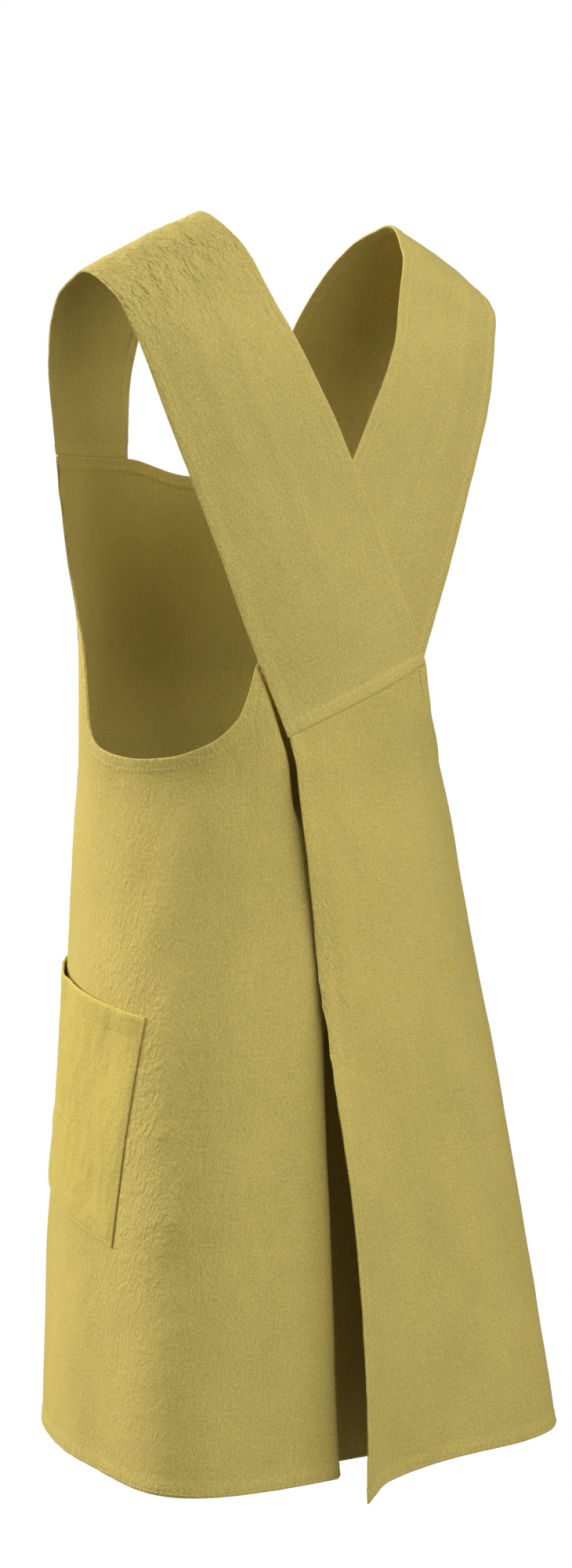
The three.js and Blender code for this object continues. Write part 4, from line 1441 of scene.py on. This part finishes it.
@dataclass
class Studio:
    """The floor, the lights and the camera."""

    azimuth: float = math.radians(148)
    distance: float = 2.2
    eye: float = -0.25
    focal: float = 3740.0
    picture_height: float = 2000.0
    sensor_height: float = 36.0
    side_shift: float = 30.0
    fall: float = 272.0
    floor_drop: float = 1.42
    floor_size: float = 60.0
    floor_tone: float = 0.2
    ambient: float = 0.15
    lit_point: tuple[float, float, float] = (0, 0, -0.45)
    # name, place to the picture's left, towards the camera and up, edge, watts, colour
    lights: Rows = (
        ("key", 2.6, -0.6, 0.7, 1.5, 128, (1.0, 0.985, 0.95)),
        ("front", -1.5, 2.8, 0.9, 1.8, 62, (0.95, 0.965, 1.0)),
        ("fill", -2.6, 1.6, 1.3, 1.8, 44, (0.94, 0.96, 1.0)),
        ("above", 0.2, 0.6, 2.4, 1.6, 18, (1.0, 1.0, 1.0)),
    )

    def directions(self) -> tuple[Vector, Vector]:
        """From the axis to the camera, and to the picture's left, as unit vectors."""
        back = Vector((math.sin(self.azimuth), -math.cos(self.azimuth), 0))
        return back, Vector((back.y, -back.x, 0))

    @staticmethod
    def aim(name: str, data: bpy.types.ID, place: Vector, target: Vector) -> bpy.types.Object:
        """Put a light or camera at a place, turned to a target.

        Args:
            name: the new object's name.
            data: the light or camera.
            place: where it stands.
            target: the point that it faces.
        Returns:
            The object, in the scene.
        """
        piece = bpy.data.objects.new(name, data)
        piece.location = place
        piece.rotation_euler = (target - place).to_track_quat("-Z", "Y").to_euler()
        bpy.context.scene.collection.objects.link(piece)
        return piece

    def camera(self) -> None:
        """Set the camera that takes the photograph's view."""
        back, left = self.directions()
        data = bpy.data.cameras.new("camera")
        data.sensor_fit, data.sensor_height = "VERTICAL", self.sensor_height
        data.lens = self.focal / self.picture_height * self.sensor_height
        data.clip_end = 100
        side, fall = (shift / self.focal * self.distance for shift in (self.side_shift, self.fall))
        place = back * self.distance + Vector((0, 0, self.eye))
        target = Vector((0, 0, self.eye - fall)) - left * side
        bpy.context.scene.camera = self.aim("camera", data, place, target)

    def lamps(self) -> None:
        """Set up the soft lights."""
        back, left = self.directions()
        for name, side, near, height, size, watts, colour in self.lights:
            data = bpy.data.lights.new(name, "AREA")
            data.size, data.energy, data.color = size, watts, colour
            place = left * side + back * near + Vector((0, 0, height))
            self.aim(name, data, place, Vector(self.lit_point))

    def floor(self) -> None:
        """Lay the floor: it shows white, and throws back little light."""
        shape = bmesh.new()
        bmesh.ops.create_grid(shape, x_segments=2, y_segments=2, size=self.floor_size)
        bmesh.ops.translate(shape, verts=shape.verts, vec=(0, 0, -self.floor_drop))
        floor = new_piece("floor", shape)
        bench = Bench(bpy.data.materials.new("floor_pale"))
        tone = (*[self.floor_tone] * 3, 1.0)
        bench.surface({"Base Color": tone, "Roughness": 0.9, "Specular IOR Level": 0.05})
        white = bench.node("ShaderNodeEmission", {}, {"Color": WHITE, "Strength": 1.0})
        bench.show(bench.nodes["Principled BSDF"], white, "Material Output")
        floor.data.materials.append(bench.owner)

    def walls(self) -> None:
        """White walls all round: they show white, and light the cloth softly."""
        world = bpy.data.worlds.new("studio")
        bench = Bench(world)
        soft, white = (
            bench.node("ShaderNodeBackground", {}, {"Color": WHITE, "Strength": strength})
            for strength in (self.ambient, 1.0)
        )
        bench.show(soft, white, "World Output")
        bpy.context.scene.world = world

    def build(self) -> None:
        """Set up the whole studio."""
        bpy.context.scene.view_settings.view_transform = "Standard"
        self.walls()
        self.floor()
        self.lamps()
        self.camera()


# ----------------------------------------------------------------------------------- main

BODY_COLOUR = (0.520, 0.408, 0.099)
# the body cloth's colour made a little bluer and greyer: a painted tint of cool light
STRAP_LIGHT_TINT_COLOUR = (0.517, 0.406, 0.106)
# the body cloth's colour made a little paler and yellower: painted light
POCKET_LIT_COLOUR = (0.535, 0.420, 0.088)
THREAD_COLOUR = (0.620, 0.500, 0.160)
STRAP_CRINKLES = (185.0, 85.0)
SMOOTH_SHOULDER = 0.0001


def dress(made: Dressed, finish: bpy.types.Material, thread: bpy.types.Material) -> None:
    """Give a sub-assembly its materials and its place on the frame.

    Args:
        made: the sub-assembly's pieces.
        finish: the cloth's material.
        thread: the stitches' material.
    """
    for piece, material in ((made.cloth, finish), (made.stitches, thread)):
        piece.data.materials.clear()
        piece.data.materials.append(material)
        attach(piece, "root")
        log.info("%s: %d faces", piece.name, len(piece.data.polygons))
    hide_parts(made.node)


def main() -> None:
    """Build the apron, piece by piece, and the studio round it."""
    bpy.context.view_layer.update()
    thread = ThreadFinish("thread", THREAD_COLOUR).build()
    body_finish = WovenFinish("woven_body", BODY_COLOUR).build()
    strap_finish = WovenFinish("woven_strap_light_tint", STRAP_LIGHT_TINT_COLOUR, STRAP_CRINKLES).build()
    pocket_finish = WovenFinish("woven_pocket_lit", POCKET_LIT_COLOUR).build()
    shape = WornShape()
    body = ApronBody(shape)
    made = body.build()
    dress(made, body_finish, thread)
    for side, layer, crease in (
        (Side.LEFT, 1, Strap.shoulder_crease), (Side.RIGHT, -1, SMOOTH_SHOULDER),
    ):
        strap = Strap(shape, side, layer, shoulder_crease=crease)
        made = strap.build()
        dress(made, strap_finish, thread)
    for side in Side:
        pocket = Pocket(body, side)
        made = pocket.build()
        dress(made, pocket_finish, thread)
    Studio().build()


if __name__ == "__main__":
    main()
